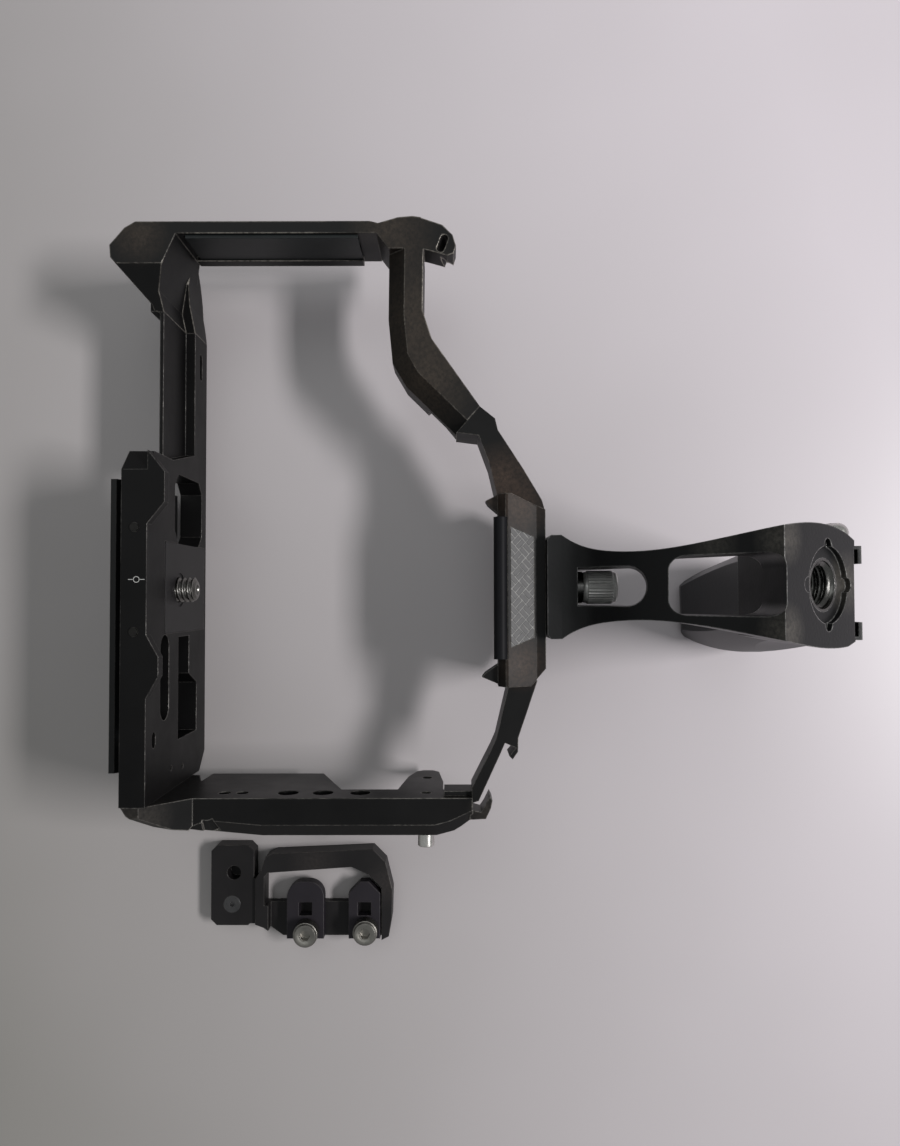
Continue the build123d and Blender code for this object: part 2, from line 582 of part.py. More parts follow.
# ---- grip side -------------------------------------------------------------------------------
def grip_side_frame():
    """Thin upright, dipped lower corner, strap lug and the thick top arm up to its step."""
    back = FRONT_Z - GRIP_DEPTH
    inner = GRIP_X + GRIP_T
    upright = [(GRIP_X, UPRIGHT_LOW_Y), (inner, UPRIGHT_LOW_Y), (inner, HEAD_OUTLINE[-1][1]),
               HEAD_OUTLINE[0]]
    body = front_slab(upright, back, FRONT_Z)
    low_y = min(y for x, y in GRIP_CORNER)
    side = [(low_y, back + CORNER_STEP), (low_y, FRONT_Z), (CORNER_TOP_Y, FRONT_Z),
            (CORNER_TOP_Y, back), (0, RECESS_BACK_Z), (-BASE_T, RECESS_BACK_Z)]
    low = front_slab(GRIP_CORNER, REST_Z, FRONT_Z) & side_slab(side, GRIP_X, BAR_END_X)
    slope = [(BAR_END_X, FRONT_Z), (BAR_END_X, BAR_FRONT_Z), (BAR_END_X - CORNER_SLOPE, FRONT_Z)]
    body += low - plan_slab(slope, low_y, CORNER_TOP_Y)
    rest = Polyline(HEEL_CURVE[-1], (BAR_END_X, RECESS_BACK_Z), (inner + HEEL_TOE, back),
                    (HEEL_CURVE[0][0], back), HEEL_CURVE[0])
    heel = plan_solid(Spline(*HEEL_CURVE).edges() + rest.edges(), -BASE_T, HEEL_TOP_Y)
    heel_front = [(GRIP_X, UPRIGHT_LOW_Y), (inner + ROOT, -BASE_T), (BAR_END_X, -BASE_T),
                  (BAR_END_X, 0), (BAR_END_X - HEEL_TOE, 0), (inner + ROOT, HEEL_TOP_Y),
                  (GRIP_X, HEEL_TOP_Y)]
    body += heel & front_slab(heel_front, REST_Z, FRONT_Z)
    body += block((inner, inner + RIM_T), (CORNER_TOP_Y, UPRIGHT_TOP_Y), (back, back + RIM_W))
    body += front_slab(HEAD_OUTLINE, ARM_BACK_Z - HEAD_BACK_STEP, FRONT_Z)
    body += front_slab(LUG_OUTLINE, FRONT_Z - LUG_T, FRONT_Z)
    arm = front_slab(ARM_LOWER + ARM_UPPER, ARM_BACK_Z, FRONT_Z)
    arm -= bevel_strip(ARM_LOWER, ARM_RIDGE)
    lap_path = [arm_point(LAP_LENGTH), arm_point(-LAP_W)]
    arm -= front_slab(strip_outline(lap_path, [3 * LAP_W] * 2), ARM_BACK_Z - PAST, LAP_Z)
    body += arm
    eye = Plane(origin=(*LUG_SLOT, FRONT_Z), z_dir=EYE_DIR, x_dir=EYE_ALONG)
    body -= eye * Pos(0, 0, -LUG_T / 2) * extrude(SlotOverall(LUG_SLOT_LENGTH, LUG_SLOT_W), 2 * LUG_T)
    body -= base_tongue()
    for origin, direction, length in BASE_GRIP_SCREWS + ARM_SCREWS:
        body -= sunk_hole(origin, direction, length)
    return body


def bevel_strip(path, size):
    """A rod of diamond section along a front-view path, used to plane a long sloping bevel."""
    tools = []
    for (x0, y0), (x1, y1) in zip(path, path[1:]):
        run = hypot(x1 - x0, y1 - y0)
        plane = Plane(origin=(x0, y0, FRONT_Z), z_dir=(x1 - x0, y1 - y0, 0), x_dir=(0, 0, 1))
        diamond = Rotation(0, 0, 45) * Rectangle(size * 2 ** 0.5, size * 2 ** 0.5)
        tools.append(plane * Pos(0, 0, -2 * PAST) * extrude(diamond, run + 4 * PAST))
    return Compound(tools)


def grip_pad():
    """Dark lining let in behind the rim on the upright's inner face."""
    inner = GRIP_X + GRIP_T
    back = FRONT_Z - GRIP_DEPTH + RIM_W
    return block((inner, inner + LINING_T), (LINING_LOW_Y, UPRIGHT_TOP_Y),
                 (back, FRONT_Z - LINING_FRONT))


# ---- top bridge ------------------------------------------------------------------------------
def top_bridge():
    """Thin arm, bridge over the prism with its sloping inlay face, port arm and strap hook."""
    roots = ((ROOT - BRIDGE_HALF_W, BRIDGE_LOW_Y), (ROOT - BRIDGE_TOP_HALF_W, BRIDGE_TOP_Y))
    body = front_slab(THIN_LOWER + roots + THIN_UPPER, ARM_BACK_Z, FRONT_Z)
    lap_path = [arm_point(LAP_LENGTH), arm_point(-PAST)]
    body += front_slab(strip_outline(lap_path, [LAP_W, LAP_W]), ARM_BACK_Z, LAP_Z)
    low_y, low_z = BRIDGE_FACE_LOW
    top_y, top_z = BRIDGE_FACE_TOP
    up, inward = BRIDGE_EDGE
    apron_z = low_z - BRIDGE_APRON_T
    section = [(BRIDGE_LOW_Y, low_z - inward), (BRIDGE_LOW_Y + up, low_z), (low_y, low_z),
               (top_y, top_z), (BRIDGE_TOP_Y, top_z), (BRIDGE_TOP_Y, BRIDGE_BACK_Z),
               (BRIDGE_TOP_Y - BRIDGE_T, BRIDGE_BACK_Z),
               (BRIDGE_TOP_Y - BRIDGE_T, apron_z - BRIDGE_APRON_FALL),
               (BRIDGE_LOW_Y, apron_z - inward)]
    port = BRIDGE_HALF_W + BRIDGE_PORT_OUT
    front = [(-BRIDGE_HALF_W, BRIDGE_LOW_Y), (-BRIDGE_HALF_W, BRIDGE_SHOULDER_Y[0]),
             (-BRIDGE_TOP_HALF_W, BRIDGE_TOP_Y), (BRIDGE_TOP_HALF_W, BRIDGE_TOP_Y),
             (port, BRIDGE_SHOULDER_Y[1]), (port, BRIDGE_LOW_Y)]
    hump = side_slab(section, -port, port)
    body += hump & front_slab(front, BRIDGE_BACK_Z, low_z + PAST)
    for side, drop in zip((-1, 1), LUG_DROP):
        fall, near, far = LUG_RISE
        lug = [(side * (BRIDGE_HALF_W - LUG_W), BRIDGE_LOW_Y + ROOT),
               (side * (BRIDGE_HALF_W - near * LUG_W), BRIDGE_LOW_Y - fall * drop),
               (side * (BRIDGE_HALF_W - far * LUG_W), BRIDGE_LOW_Y - drop),
               (side * (BRIDGE_HALF_W + ROOT), BRIDGE_LOW_Y + 2 * ROOT)]
        body += front_slab(lug, FRONT_Z - LUG_T / 2, FRONT_Z)
    body += front_slab(PORT_ARM, STRAP_BACK_Z, FRONT_Z - STRAP_FRONT)
    body += block((PORT_X - BRIDGE_FOOT_T, PORT_X), BRIDGE_FOOT_Y,
                  (WALL_BACK_Z, FRONT_Z - BRIDGE_FOOT_FRONT))
    body -= inlay_solid(SEAT_GAP)
    body -= rod_x(BUMPER_Y, BUMPER_Z, BUMPER_R, BUMPER_X[0] - SEAT_GAP, BUMPER_X[1] + SEAT_GAP)
    body -= rod_y(HANDLE_X, KNOB_Z, QUARTER_R + RUN_FIT, BRIDGE_TOP_Y - BRIDGE_T, BRIDGE_TOP_Y)
    for side in (-1, 1):
        body -= rod_y(HANDLE_X + side * HANDLE_PIN_SPREAD, KNOB_Z - HANDLE_PIN_Z,
                      HANDLE_PIN_R + RUN_FIT, BRIDGE_TOP_Y - HANDLE_PIN_OUT - PIN_END_GAP,
                      BRIDGE_TOP_Y)
    for origin, direction, length in ARM_SCREWS:
        body -= sunk_hole(origin, direction, length)
    return body - side_screw_hole()


def inlay_outline(margin):
    low, top = INLAY_LOW_HALF_W + margin, INLAY_TOP_HALF_W + margin
    (low_y, low_z), (top_y, top_z) = BRIDGE_FACE_LOW, BRIDGE_FACE_TOP
    height = hypot(top_y - low_y, top_z - low_z)
    return [(-low, INLAY_MARGIN - margin), (low, INLAY_MARGIN - margin),
            (top, height - INLAY_MARGIN + margin), (-top, height - INLAY_MARGIN + margin)]


def inlay_solid(margin):
    (low_y, low_z), (top_y, top_z) = BRIDGE_FACE_LOW, BRIDGE_FACE_TOP
    normal = (0, low_z - top_z, top_y - low_y)
    face = Plane(origin=(HANDLE_X, low_y, low_z), x_dir=(1, 0, 0), z_dir=normal)
    return face * extrude(outline(inlay_outline(margin)), -INLAY_T)


def weave_inlay():
    return inlay_solid(0)


def bridge_pad():
    """Round elastomer bumper let half-way into the bridge's lower front edge."""
    return rod_x(BUMPER_Y, BUMPER_Z, BUMPER_R - SEAT_GAP, *BUMPER_X)


# ---- port wall -------------------------------------------------------------------------------
def port_side_wall():
    """Upright with tapped holes, a rear tab, an eared hole and the lower strap hook."""
    outer = PORT_X + PORT_T
    front_knee, back_knee = WALL_FOOT_KNEE_Y
    side = [(-BASE_T - PAST, BASE_FRONT_Z), (front_knee, BASE_FRONT_Z), (WALL_FOOT_Y, FRONT_Z),
            (WALL_TOP_Y, FRONT_Z), (WALL_TOP_Y, WALL_BACK_Z), (WALL_FOOT_Y, WALL_BACK_Z),
            (back_knee, WALL_FOOT_BACK_Z), (-BASE_T - PAST, WALL_FOOT_BACK_Z)]
    body = front_slab(WALL_FRONT, WALL_FOOT_BACK_Z, BASE_FRONT_Z) & side_slab(side, PORT_X, outer)
    nose_x, nose_z = WALL_FOOT_NOSE
    nose = [(nose_x, BASE_FRONT_Z), (outer, nose_z), (outer + PAST, nose_z),
            (outer + PAST, BASE_FRONT_Z + PAST), (nose_x, BASE_FRONT_Z + PAST)]
    body -= plan_slab(nose, -BASE_T - PAST, WALL_FOOT_Y)
    tab = [(TAB_Y[0] - PAST, WALL_BACK_Z + 2 * PAST), (TAB_Y[0], TAB_BACK_Z),
           (TAB_Y[1] - TAB_SLOPE, TAB_BACK_Z), (TAB_Y[1], WALL_BACK_Z + 2 * PAST)]
    for flap in (tab, EAR_OUTLINE):
        body += side_slab(flap, PORT_X, PORT_X + WEB_T)
    body -= rod_x(*EAR_HOLE, EAR_HOLE_R, PORT_X, outer)
    for y in QUARTER_HOLES_Y:
        body -= rod_x(y, WALL_HOLE_Z, QUARTER_TAP_R, PORT_X, outer)
    for y in PIN_HOLES_Y:
        body -= rod_x(y, WALL_HOLE_Z, PIN_HOLE_R, PORT_X, outer)
    body -= bevel_strip(WALL_EDGE, WALL_BEVEL)
    body += front_slab(LOWER_HOOK, STRAP_BACK_Z + HOOK_INSET, FRONT_Z - HOOK_INSET)
    for origin, direction, length in WALL_FOOT_SCREWS:
        body -= sunk_hole(origin, direction, length)
        body -= Plane(origin=origin, z_dir=(1, 0, 0)) * extrude(Circle(SMALL_HEAD_R), PORT_T)
    return body - side_screw_hole()


def side_screw_hole():
    outer = PORT_X + PORT_T
    return rod_x(SIDE_SCREW_Y, WALL_HOLE_Z, SMALL_SCREW_R, PORT_X - BRIDGE_FOOT_T, outer)


def port_side_screw():
    outer = PORT_X + PORT_T
    screw = rod_x(SIDE_SCREW_Y, WALL_HOLE_Z, SMALL_SCREW_R, PORT_X - BRIDGE_FOOT_T, outer)
    head = rod_x(SIDE_SCREW_Y, WALL_HOLE_Z, SIDE_SCREW_R, outer, outer + SIDE_SCREW_HEAD_T)
    head = chamfer(head.edges().sort_by(Axis.X)[-1], SIDE_SCREW_CUT)
    socket = Plane.YZ.offset(outer + SIDE_SCREW_HEAD_T - SIDE_SCREW_SOCKET)
    return screw + head - socket * Pos(SIDE_SCREW_Y, WALL_HOLE_Z) * extrude(
        RegularPolygon(HEX_ACROSS / 2, 6), SIDE_SCREW_SOCKET)


def frame_screws():
    return [sunk_screw(*place) for place in FRAME_SCREWS]


# ---- top handle ------------------------------------------------------------------------------
FOOT_Y = BRIDGE_TOP_Y + FACE_GAP
KNOB_LOW_Y = FOOT_Y + HANDLE_FOOT_T + KNOB_GAP


def handle_flank(side, points):
    """One flank of the handle in front view, from the foot's lower edge to the top."""
    knee = (side * HANDLE_FOOT_HALF_W, FOOT_Y + FOOT_KNEE)
    foot = Polyline((side * (HANDLE_FOOT_HALF_W - FOOT_CUT), FOOT_Y),
                    (side * HANDLE_FOOT_HALF_W, FOOT_Y + FOOT_CUT), knee)
    curve = [(side * half, y) for half, y in points]
    return foot + Spline(knee, *curve[:-1]) + Line(*curve[-2:])


def handle_silhouette():
    """Front outline: wide foot, waist, flared head with cut top corners."""
    left, right = handle_flank(-1, HANDLE_LEFT), handle_flank(1, HANDLE_RIGHT)
    low = HANDLE_FOOT_HALF_W - FOOT_CUT
    lids = (Line((-low, FOOT_Y), (low, FOOT_Y))
            + Line((-HANDLE_LEFT[-1][0], HANDLE_TOP_Y), (HANDLE_RIGHT[-1][0], HANDLE_TOP_Y)))
    return make_face(right.edges() + left.edges() + lids.edges())


def handle_profile():
    """Side outline (Y, Z): foot, leaning post, slanted face with the socket, flat top."""
    foot_top = FOOT_Y + HANDLE_FOOT_T
    heel = (foot_top + HANDLE_HEEL_RISE, HANDLE_FOOT_BACK_Z)
    under = (GRIP_LOW_Y, HEAD_BACK_Z)
    knee = (FOOT_Y + FOOT_KNEE, HANDLE_FOOT_FRONT_Z)
    foot = Polyline(heel, (FOOT_Y, HANDLE_FOOT_BACK_Z), (FOOT_Y, HANDLE_FOOT_FRONT_Z), knee)
    front = Spline(knee, POST_FRONT, HANDLE_CHIN, tangents=[(1, 0.1), (0.65, 0.76)])
    head = Polyline(HANDLE_CHIN, HANDLE_BROW, (HANDLE_TOP_Y, HANDLE_BROW[1] - SHOE_BACK),
                    (HANDLE_TOP_Y, GRIP_JOINT_Z), (GRIP_LOW_Y, GRIP_JOINT_Z), under)
    back = Spline(under, POST_BACK, heel, tangents=[(-0.6, -0.8), (-0.4, -1)])
    return make_face(foot.edges() + front.edges() + head.edges() + back.edges())


def handle_body():
    """Milled handle: foot, leaning post with two windows, head with the slanted socket face."""
    reach = HANDLE_CHIN[1] - HANDLE_FOOT_BACK_Z
    wide = HANDLE_FOOT_HALF_W + ROOT
    body = extrude(Plane.YZ.offset(-wide) * handle_profile(), 2 * wide)
    body &= extrude(Pos(0, 0, HANDLE_FOOT_BACK_Z) * handle_silhouette(), reach + PAST)
    body = Pos(HANDLE_X, 0, 0) * body
    body += grip_core(0)
    body -= knob_slot()
    body -= big_window()
    face = socket_plane()
    body -= face * extrude(Circle(SOCKET_R), -SOCKET_DEPTH)
    for turn in range(4):
        body -= face * Rotation(0, 0, 90 * turn) * Pos(SOCKET_R, 0) * extrude(
            Circle(SOCKET_NOTCH_R), -SOCKET_DEPTH)
    body -= face * Pos(0, 0, -SOCKET_DEPTH) * extrude(Circle(BUSH_R), -BUSH_LENGTH)
    body -= shoe_pocket()
    body -= rod_y(HANDLE_X, KNOB_Z, QUARTER_R + RUN_FIT, FOOT_Y, KNOB_LOW_Y)
    for place in shoe_screw_places():
        body -= sunk_hole(*place)
    for side in (-1, 1):
        body -= rod_y(HANDLE_X + side * HANDLE_PIN_SPREAD, KNOB_Z - HANDLE_PIN_Z, HANDLE_PIN_R,
                      FOOT_Y, FOOT_Y + HANDLE_PIN_IN)
    seat = HANDLE_X - FLANK_SEAT
    body -= rod_x(FLANK_SCREW_Y, FLANK_SCREW_Z, FLANK_SCREW_R + SEAT_GAP, seat - LUG_T, seat)
    return body - flank_screw_shank()


def knob_slot():
    """Tall slot through the post, rounded above, in which the knurled knob rides."""
    floor = FOOT_Y + HANDLE_FOOT_T
    roof, roof_z = SLOT_ROOF
    ahead = THROUGH / 3
    top = roof - SLOT_RISE * ahead
    flat = Rectangle(2 * SLOT_HALF_W, THROUGH, align=(Align.CENTER, Align.MAX))
    shape = Pos(0, -SLOT_HALF_W) * flat + Pos(0, -SLOT_HALF_W) * Circle(SLOT_HALF_W)
    shape = Pos(HANDLE_X, top, roof_z + ahead) * shape
    slanted = extrude(shape, THROUGH, dir=(0, SLOT_RISE, -1))
    below = block((-THROUGH, THROUGH), (floor - 2 * THROUGH, floor), (-THROUGH, THROUGH))
    return slanted - below


def big_window():
    """Large rounded window, cut straight through the leaning post."""
    tall = GRIP_LOW_Y - WINDOW_LOW_Y
    shape = RectangleRounded(2 * WINDOW_HALF_W, tall, WINDOW_CORNER)
    middle = (HANDLE_X, WINDOW_LOW_Y + tall / 2, -THROUGH / 2)
    return extrude(Pos(*middle) * shape, 2 * THROUGH)


def socket_plane():
    """Centre of the socket on the slanted face, with the face's normal out of the metal."""
    (y0, z0), (y1, z1) = HANDLE_CHIN, HANDLE_BROW
    share = 0.5 + SOCKET_UP / hypot(y1 - y0, z1 - z0)
    origin = (HANDLE_X, y0 + share * (y1 - y0), z0 + share * (z1 - z0))
    return Plane(origin=origin, x_dir=(1, 0, 0), z_dir=(0, z0 - z1, y1 - y0))


def front_thread_bush():
    """Steel 3/8 inch thread bush pressed into the socket."""
    seat = socket_plane() * Pos(0, 0, -SOCKET_DEPTH)
    return seat * extrude(Circle(BUSH_R), -BUSH_LENGTH) - seat * extrude(
        Circle(THREE_EIGHTHS_R), -BUSH_LENGTH)


def grip_place(shape):
    """Puts a shape made round the joint's middle where the grip is, turned to the port side."""
    return Pos(HANDLE_X + GRIP_SHIFT, 0, GRIP_JOINT_Z) * Rotation(0, GRIP_TURN, 0) * shape


def grip_envelope():
    """Outer form of the textured grip: flat top, palm swell below, rounded tail."""
    back, front = GRIP_BACK_Z - GRIP_JOINT_Z - ROOT, LUG_T
    middle, tail_z = back / 2, back + GRIP_TAIL
    low, top = GRIP_LOW_Y, HANDLE_TOP_Y
    rim = Polyline((low, front), (top, front), (top, tail_z))
    tail = Spline((top, tail_z), ((low + top) / 2, back), (low, tail_z), tangents=[(0, -1), (0, 1)])
    belly = Spline((low, tail_z), (low + GRIP_BELLY_RISE, middle), (low, front))
    half, flat, end = GRIP_HALF_W, GRIP_TOP_HALF_W, GRIP_END_HALF_W
    body = extrude(Plane.YZ.offset(-half) * make_face(rim.edges() + tail.edges() + belly.edges()),
                   2 * half)
    flanks = [Spline((s * GRIP_BELLY_HALF_W, low), (s * half, GRIP_WIDEST_Y), (s * flat, top))
              for s in (-1, 1)]
    lids = [Line((-GRIP_BELLY_HALF_W, low), (GRIP_BELLY_HALF_W, low)), Line((-flat, top), (flat, top))]
    section = make_face([edge for line in flanks + lids for edge in line.edges()])
    body &= Pos(0, 0, back) * extrude(section, front - back)
    sides = [Spline((s * half, front), (s * half, middle), (s * end, tail_z),
                    (s * (end - GRIP_TAIL / 2), back)) for s in (-1, 1)]
    lids = [Line((-half, front), (half, front)),
            Line((GRIP_TAIL / 2 - end, back), (end - GRIP_TAIL / 2, back))]
    plan = [edge for line in sides + lids for edge in line.edges()]
    return grip_place(body & plan_solid(plan, low - ROOT, top + ROOT))


def grip_core(margin):
    """Square beam of the body that the grip cover is pushed over."""
    half, low, top = CORE_HALF_W + margin, CORE_LOW_Y - margin, HANDLE_TOP_Y - GRIP_WALL + margin
    return grip_place(block((-half, half), (low, top), (-CORE_LENGTH - margin, GRIP_WALL)))


def handle_grip():
    wide = 2 * GRIP_HALF_W
    room = block((-wide, wide), (GRIP_LOW_Y, HANDLE_TOP_Y), (GRIP_BACK_Z, GRIP_JOINT_Z))
    return (grip_envelope() & room) - grip_core(SEAT_GAP) - shoe_pocket()


# cold shoe
def shoe_ends():
    """Rear and front end of the shoe along Z."""
    front = HANDLE_BROW[1] - SHOE_BACK
    return front - SHOE_LENGTH, front


def shoe_levels():
    """Heights of the seat under the shoe, its floor, the underside of its lips and its top."""
    top = HANDLE_TOP_Y + SHOE_PROUD
    floor = top - SHOE_LIP_T - SHOE_SLOT_H
    return floor - SHOE_FLOOR_T, floor, top - SHOE_LIP_T, top


def shoe_pocket():
    """Seat of the shoe, with a shallow run-in in front of it."""
    seat, floor, lips, top = shoe_levels()
    back, front = shoe_ends()
    half, slot = SHOE_SLOT_W / 2 + SHOE_WALL, SHOE_SLOT_W / 2
    pocket = block((SHOE_X - half, SHOE_X + half), (seat, top), (back, front))
    return pocket + block((SHOE_X - slot, SHOE_X + slot), (floor, top), (back, front + LUG_T))


def shoe_rails():
    """Folded steel shoe channel with two lips, let into the top of the head."""
    seat, floor, lips, top = shoe_levels()
    half, slot, lip = SHOE_SLOT_W / 2 + SHOE_WALL, SHOE_SLOT_W / 2, SHOE_GAP / 2
    section = [(-half, seat), (half, seat), (half, top), (lip, top), (lip, lips), (slot, lips),
               (slot, floor), (-slot, floor), (-slot, lips), (-lip, lips), (-lip, top), (-half, top)]
    body = Pos(SHOE_X, 0, 0) * front_slab(section, *shoe_ends())
    for place in shoe_screw_places():
        body -= sunk_hole(*place)
    return body


def shoe_screw_places():
    middle = sum(shoe_ends()) / 2
    return [((SHOE_X, shoe_levels()[1], middle + side * SHOE_SCREW_Z), (0, -1, 0), SHOE_SCREW_LENGTH)
            for side in (-1, 1)]


def shoe_screws():
    return [sunk_screw(*place) for place in shoe_screw_places()]


def handle_pins():
    """Two locating pins that stop the handle turning on its single screw."""
    return [rod_y(HANDLE_X + side * HANDLE_PIN_SPREAD, KNOB_Z - HANDLE_PIN_Z, HANDLE_PIN_R,
                  BRIDGE_TOP_Y - HANDLE_PIN_OUT, FOOT_Y + HANDLE_PIN_IN) for side in (-1, 1)]


def flank_screw_shank():
    seat = HANDLE_X - FLANK_SEAT
    return rod_x(FLANK_SCREW_Y, FLANK_SCREW_Z, SMALL_SCREW_R, seat, seat + FLANK_SCREW_LENGTH)


def handle_side_screw():
    """Button-head screw on the grip-side flank of the head."""
    seat = HANDLE_X - FLANK_SEAT
    head = rod_x(FLANK_SCREW_Y, FLANK_SCREW_Z, FLANK_SCREW_R, seat - FLANK_SCREW_HEAD_T, seat)
    head = fillet(head.edges().sort_by(Axis.X)[0], FLANK_SCREW_ROUND)
    socket = Plane.YZ.offset(seat - FLANK_SCREW_HEAD_T) * Pos(FLANK_SCREW_Y, FLANK_SCREW_Z)
    across, depth = FLANK_SOCKET
    socket = socket * extrude(RegularPolygon(across / 2, 6), depth)
    return head + flank_screw_shank() - socket


def handle_knob():
    """Captive knurled thumbscrew: ribbed drum, relieved neck and the 1/4 inch stud."""
    drum = ribbed(KNOB_R, KNOB_RIB, KNOB_RIBS)
    seat = Plane.XZ.offset(-(KNOB_LOW_Y + KNOB_H))
    body = seat * Pos(HANDLE_X, KNOB_Z) * extrude(drum, KNOB_H)
    body += rod_y(HANDLE_X, KNOB_Z, STUD_NECK_R, FOOT_Y, KNOB_LOW_Y)
    return body + rod_y(HANDLE_X, KNOB_Z, QUARTER_R, FOOT_Y - FACE_GAP - STUD_LENGTH, FOOT_Y)


def knob_washer():
    """Washer that keeps the thumbscrew captive and runs under its drum."""
    top = KNOB_LOW_Y - FACE_GAP
    washer = rod_y(HANDLE_X, KNOB_Z, KNOB_RING_R, top - KNOB_RING_T, top)
    return washer - rod_y(HANDLE_X, KNOB_Z, STUD_NECK_R + RUN_FIT, top - KNOB_RING_T, top)


# ---- cable clamp -----------------------------------------------------------------------------
def clamp_frame():
    """Milled ring with a thin shelf for the two jaws and a lower ear that bolts to the cage."""
    low = REST_Z
    x0, x1, y0, y1 = CLAMP_EAR
    body = front_slab(CLAMP_OUTLINE, low, low + CLAMP_T)
    ear = front_slab(chamfered_rect(x0, x1, y0, y1, CLAMP_EAR_CUT), low, low + CLAMP_EAR_T)
    body += ear + block(CLAMP_NECK, (y0 + CLAMP_EAR_CUT, y1 + ROOT), (low, low + CLAMP_EAR_T))
    body -= front_slab(CLAMP_WINDOW, low, low + CLAMP_T)
    shelf_x, shelf_low, shelf_high = CLAMP_SHELF
    body -= block((shelf_x, x1 + THUMB_R * 2), (shelf_low, shelf_high),
                  (low + CLAMP_SHELF_T, low + CLAMP_T))
    ear_top = low + CLAMP_EAR_T
    body -= rod_z(*CLAMP_HOLE, CLAMP_HOLE_R, ear_top - CLAMP_HOLE_DEPTH, ear_top)
    body -= sunk_hole(*clamp_screw_place())
    for x, y in THUMB_PLACES:
        body -= rod_z(x, y, THUMB_SHANK_R, low, low + CLAMP_SHELF_T)
    return body


def clamp_screw_place():
    return (*CLAMP_SCREW, REST_Z + CLAMP_EAR_T), (0, 0, -1), CLAMP_EAR_T


def clamp_fixing_screw():
    return sunk_screw(*clamp_screw_place())


def clamp_jaw(number):
    """Sliding jaw: rounded or square nose, square window and a fork round its thumbscrew."""
    low_y, width = JAW_Y[number], JAW_W[number]
    z0 = REST_Z + CLAMP_SHELF_T + FACE_GAP
    plate = block((JAW_X, JAW_X + JAW_LENGTH), (low_y, low_y + width), (z0, z0 + JAW_T))
    nose = plate.edges().filter_by(Axis.Z).group_by(Axis.X)[0]
    plate = fillet(nose, JAW_NOSE_ROUND) if number == 0 else chamfer(nose, JAW_NOSE_CUT)
    middle = low_y + width / 2
    half = JAW_WINDOW / 2
    plate -= block((JAW_WINDOW_X - half, JAW_WINDOW_X + half), (middle - half, middle + half),
                   (z0, z0 + JAW_T))
    x, y = THUMB_PLACES[number]
    gap = THUMB_SHANK_R + RUN_FIT
    plate -= rod_z(x, y, gap, z0, z0 + JAW_T)
    return plate - block((x, x + JAW_LENGTH), (y - gap, y + gap), (z0, z0 + JAW_T))


def clamp_thumbscrew(number):
    """Knurled light-metal head with a hex socket, and its shank through the jaw."""
    x, y = THUMB_PLACES[number]
    z0 = REST_Z + CLAMP_SHELF_T + JAW_T + 2 * FACE_GAP
    head = Pos(x, y, z0) * extrude(ribbed(THUMB_R, THUMB_RIB, THUMB_RIBS), THUMB_H)
    socket = extrude(RegularPolygon(THUMB_SOCKET / 2, 6), THUMB_SOCKET_DEPTH)
    head -= Pos(x, y, z0 + THUMB_H - THUMB_SOCKET_DEPTH) * socket
    return head + rod_z(x, y, THUMB_SHANK_R - RUN_FIT, REST_Z + THUMB_END_GAP, z0)


# ---- one file for each node ------------------------------------------------------------------
def save(name, shape):
    solids = shape if isinstance(shape, list) else [shape]
    whole = Compound(children=[part for item in solids for part in item.solids()])
    export_step(whole, f"parts/{name}.step")


NODES = {
    "base_plate": base_plate, "camera_pad": camera_pad, "dovetail_foot": dovetail_foot,
    "foot_screws": foot_screws, "front_pins": front_pins, "camera_screw": camera_screw,
    "camera_screw_ring": camera_screw_ring, "grip_side_frame": grip_side_frame,
    "grip_pad": grip_pad, "top_bridge": top_bridge, "bridge_pad": bridge_pad,
    "weave_inlay": weave_inlay, "port_side_wall": port_side_wall,
    "port_side_screw": port_side_screw, "frame_screws": frame_screws,
    "handle_body": handle_body, "handle_grip": handle_grip, "shoe_rails": shoe_rails,
    "shoe_screws": shoe_screws, "front_thread_bush": front_thread_bush,
    "handle_pins": handle_pins, "handle_side_screw": handle_side_screw,
    "handle_knob": handle_knob, "knob_washer": knob_washer, "clamp_frame": clamp_frame,
    "clamp_fixing_screw": clamp_fixing_screw,
    "clamp_jaw_lower": lambda: clamp_jaw(0), "clamp_jaw_upper": lambda: clamp_jaw(1),
    "clamp_thumbscrew_lower": lambda: clamp_thumbscrew(0),
    "clamp_thumbscrew_upper": lambda: clamp_thumbscrew(1),
}

os.makedirs("parts", exist_ok=True)
for node, make in NODES.items():
    save(node, make())
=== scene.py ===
import bmesh
import bpy
import math
import numpy as np
from mathutils import Matrix, Vector


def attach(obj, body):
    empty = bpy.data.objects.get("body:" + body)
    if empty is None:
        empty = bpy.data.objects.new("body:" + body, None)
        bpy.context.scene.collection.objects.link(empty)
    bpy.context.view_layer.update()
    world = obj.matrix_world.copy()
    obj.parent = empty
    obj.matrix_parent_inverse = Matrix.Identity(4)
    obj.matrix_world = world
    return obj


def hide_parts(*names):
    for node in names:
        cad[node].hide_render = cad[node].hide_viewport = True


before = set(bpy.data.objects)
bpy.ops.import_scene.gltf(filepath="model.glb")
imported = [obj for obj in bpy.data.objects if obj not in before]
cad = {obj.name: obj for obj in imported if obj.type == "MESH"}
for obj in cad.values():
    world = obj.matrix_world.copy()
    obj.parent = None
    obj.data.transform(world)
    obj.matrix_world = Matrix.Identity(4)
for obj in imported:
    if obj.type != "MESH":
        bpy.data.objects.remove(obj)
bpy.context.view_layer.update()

mm = 0.001

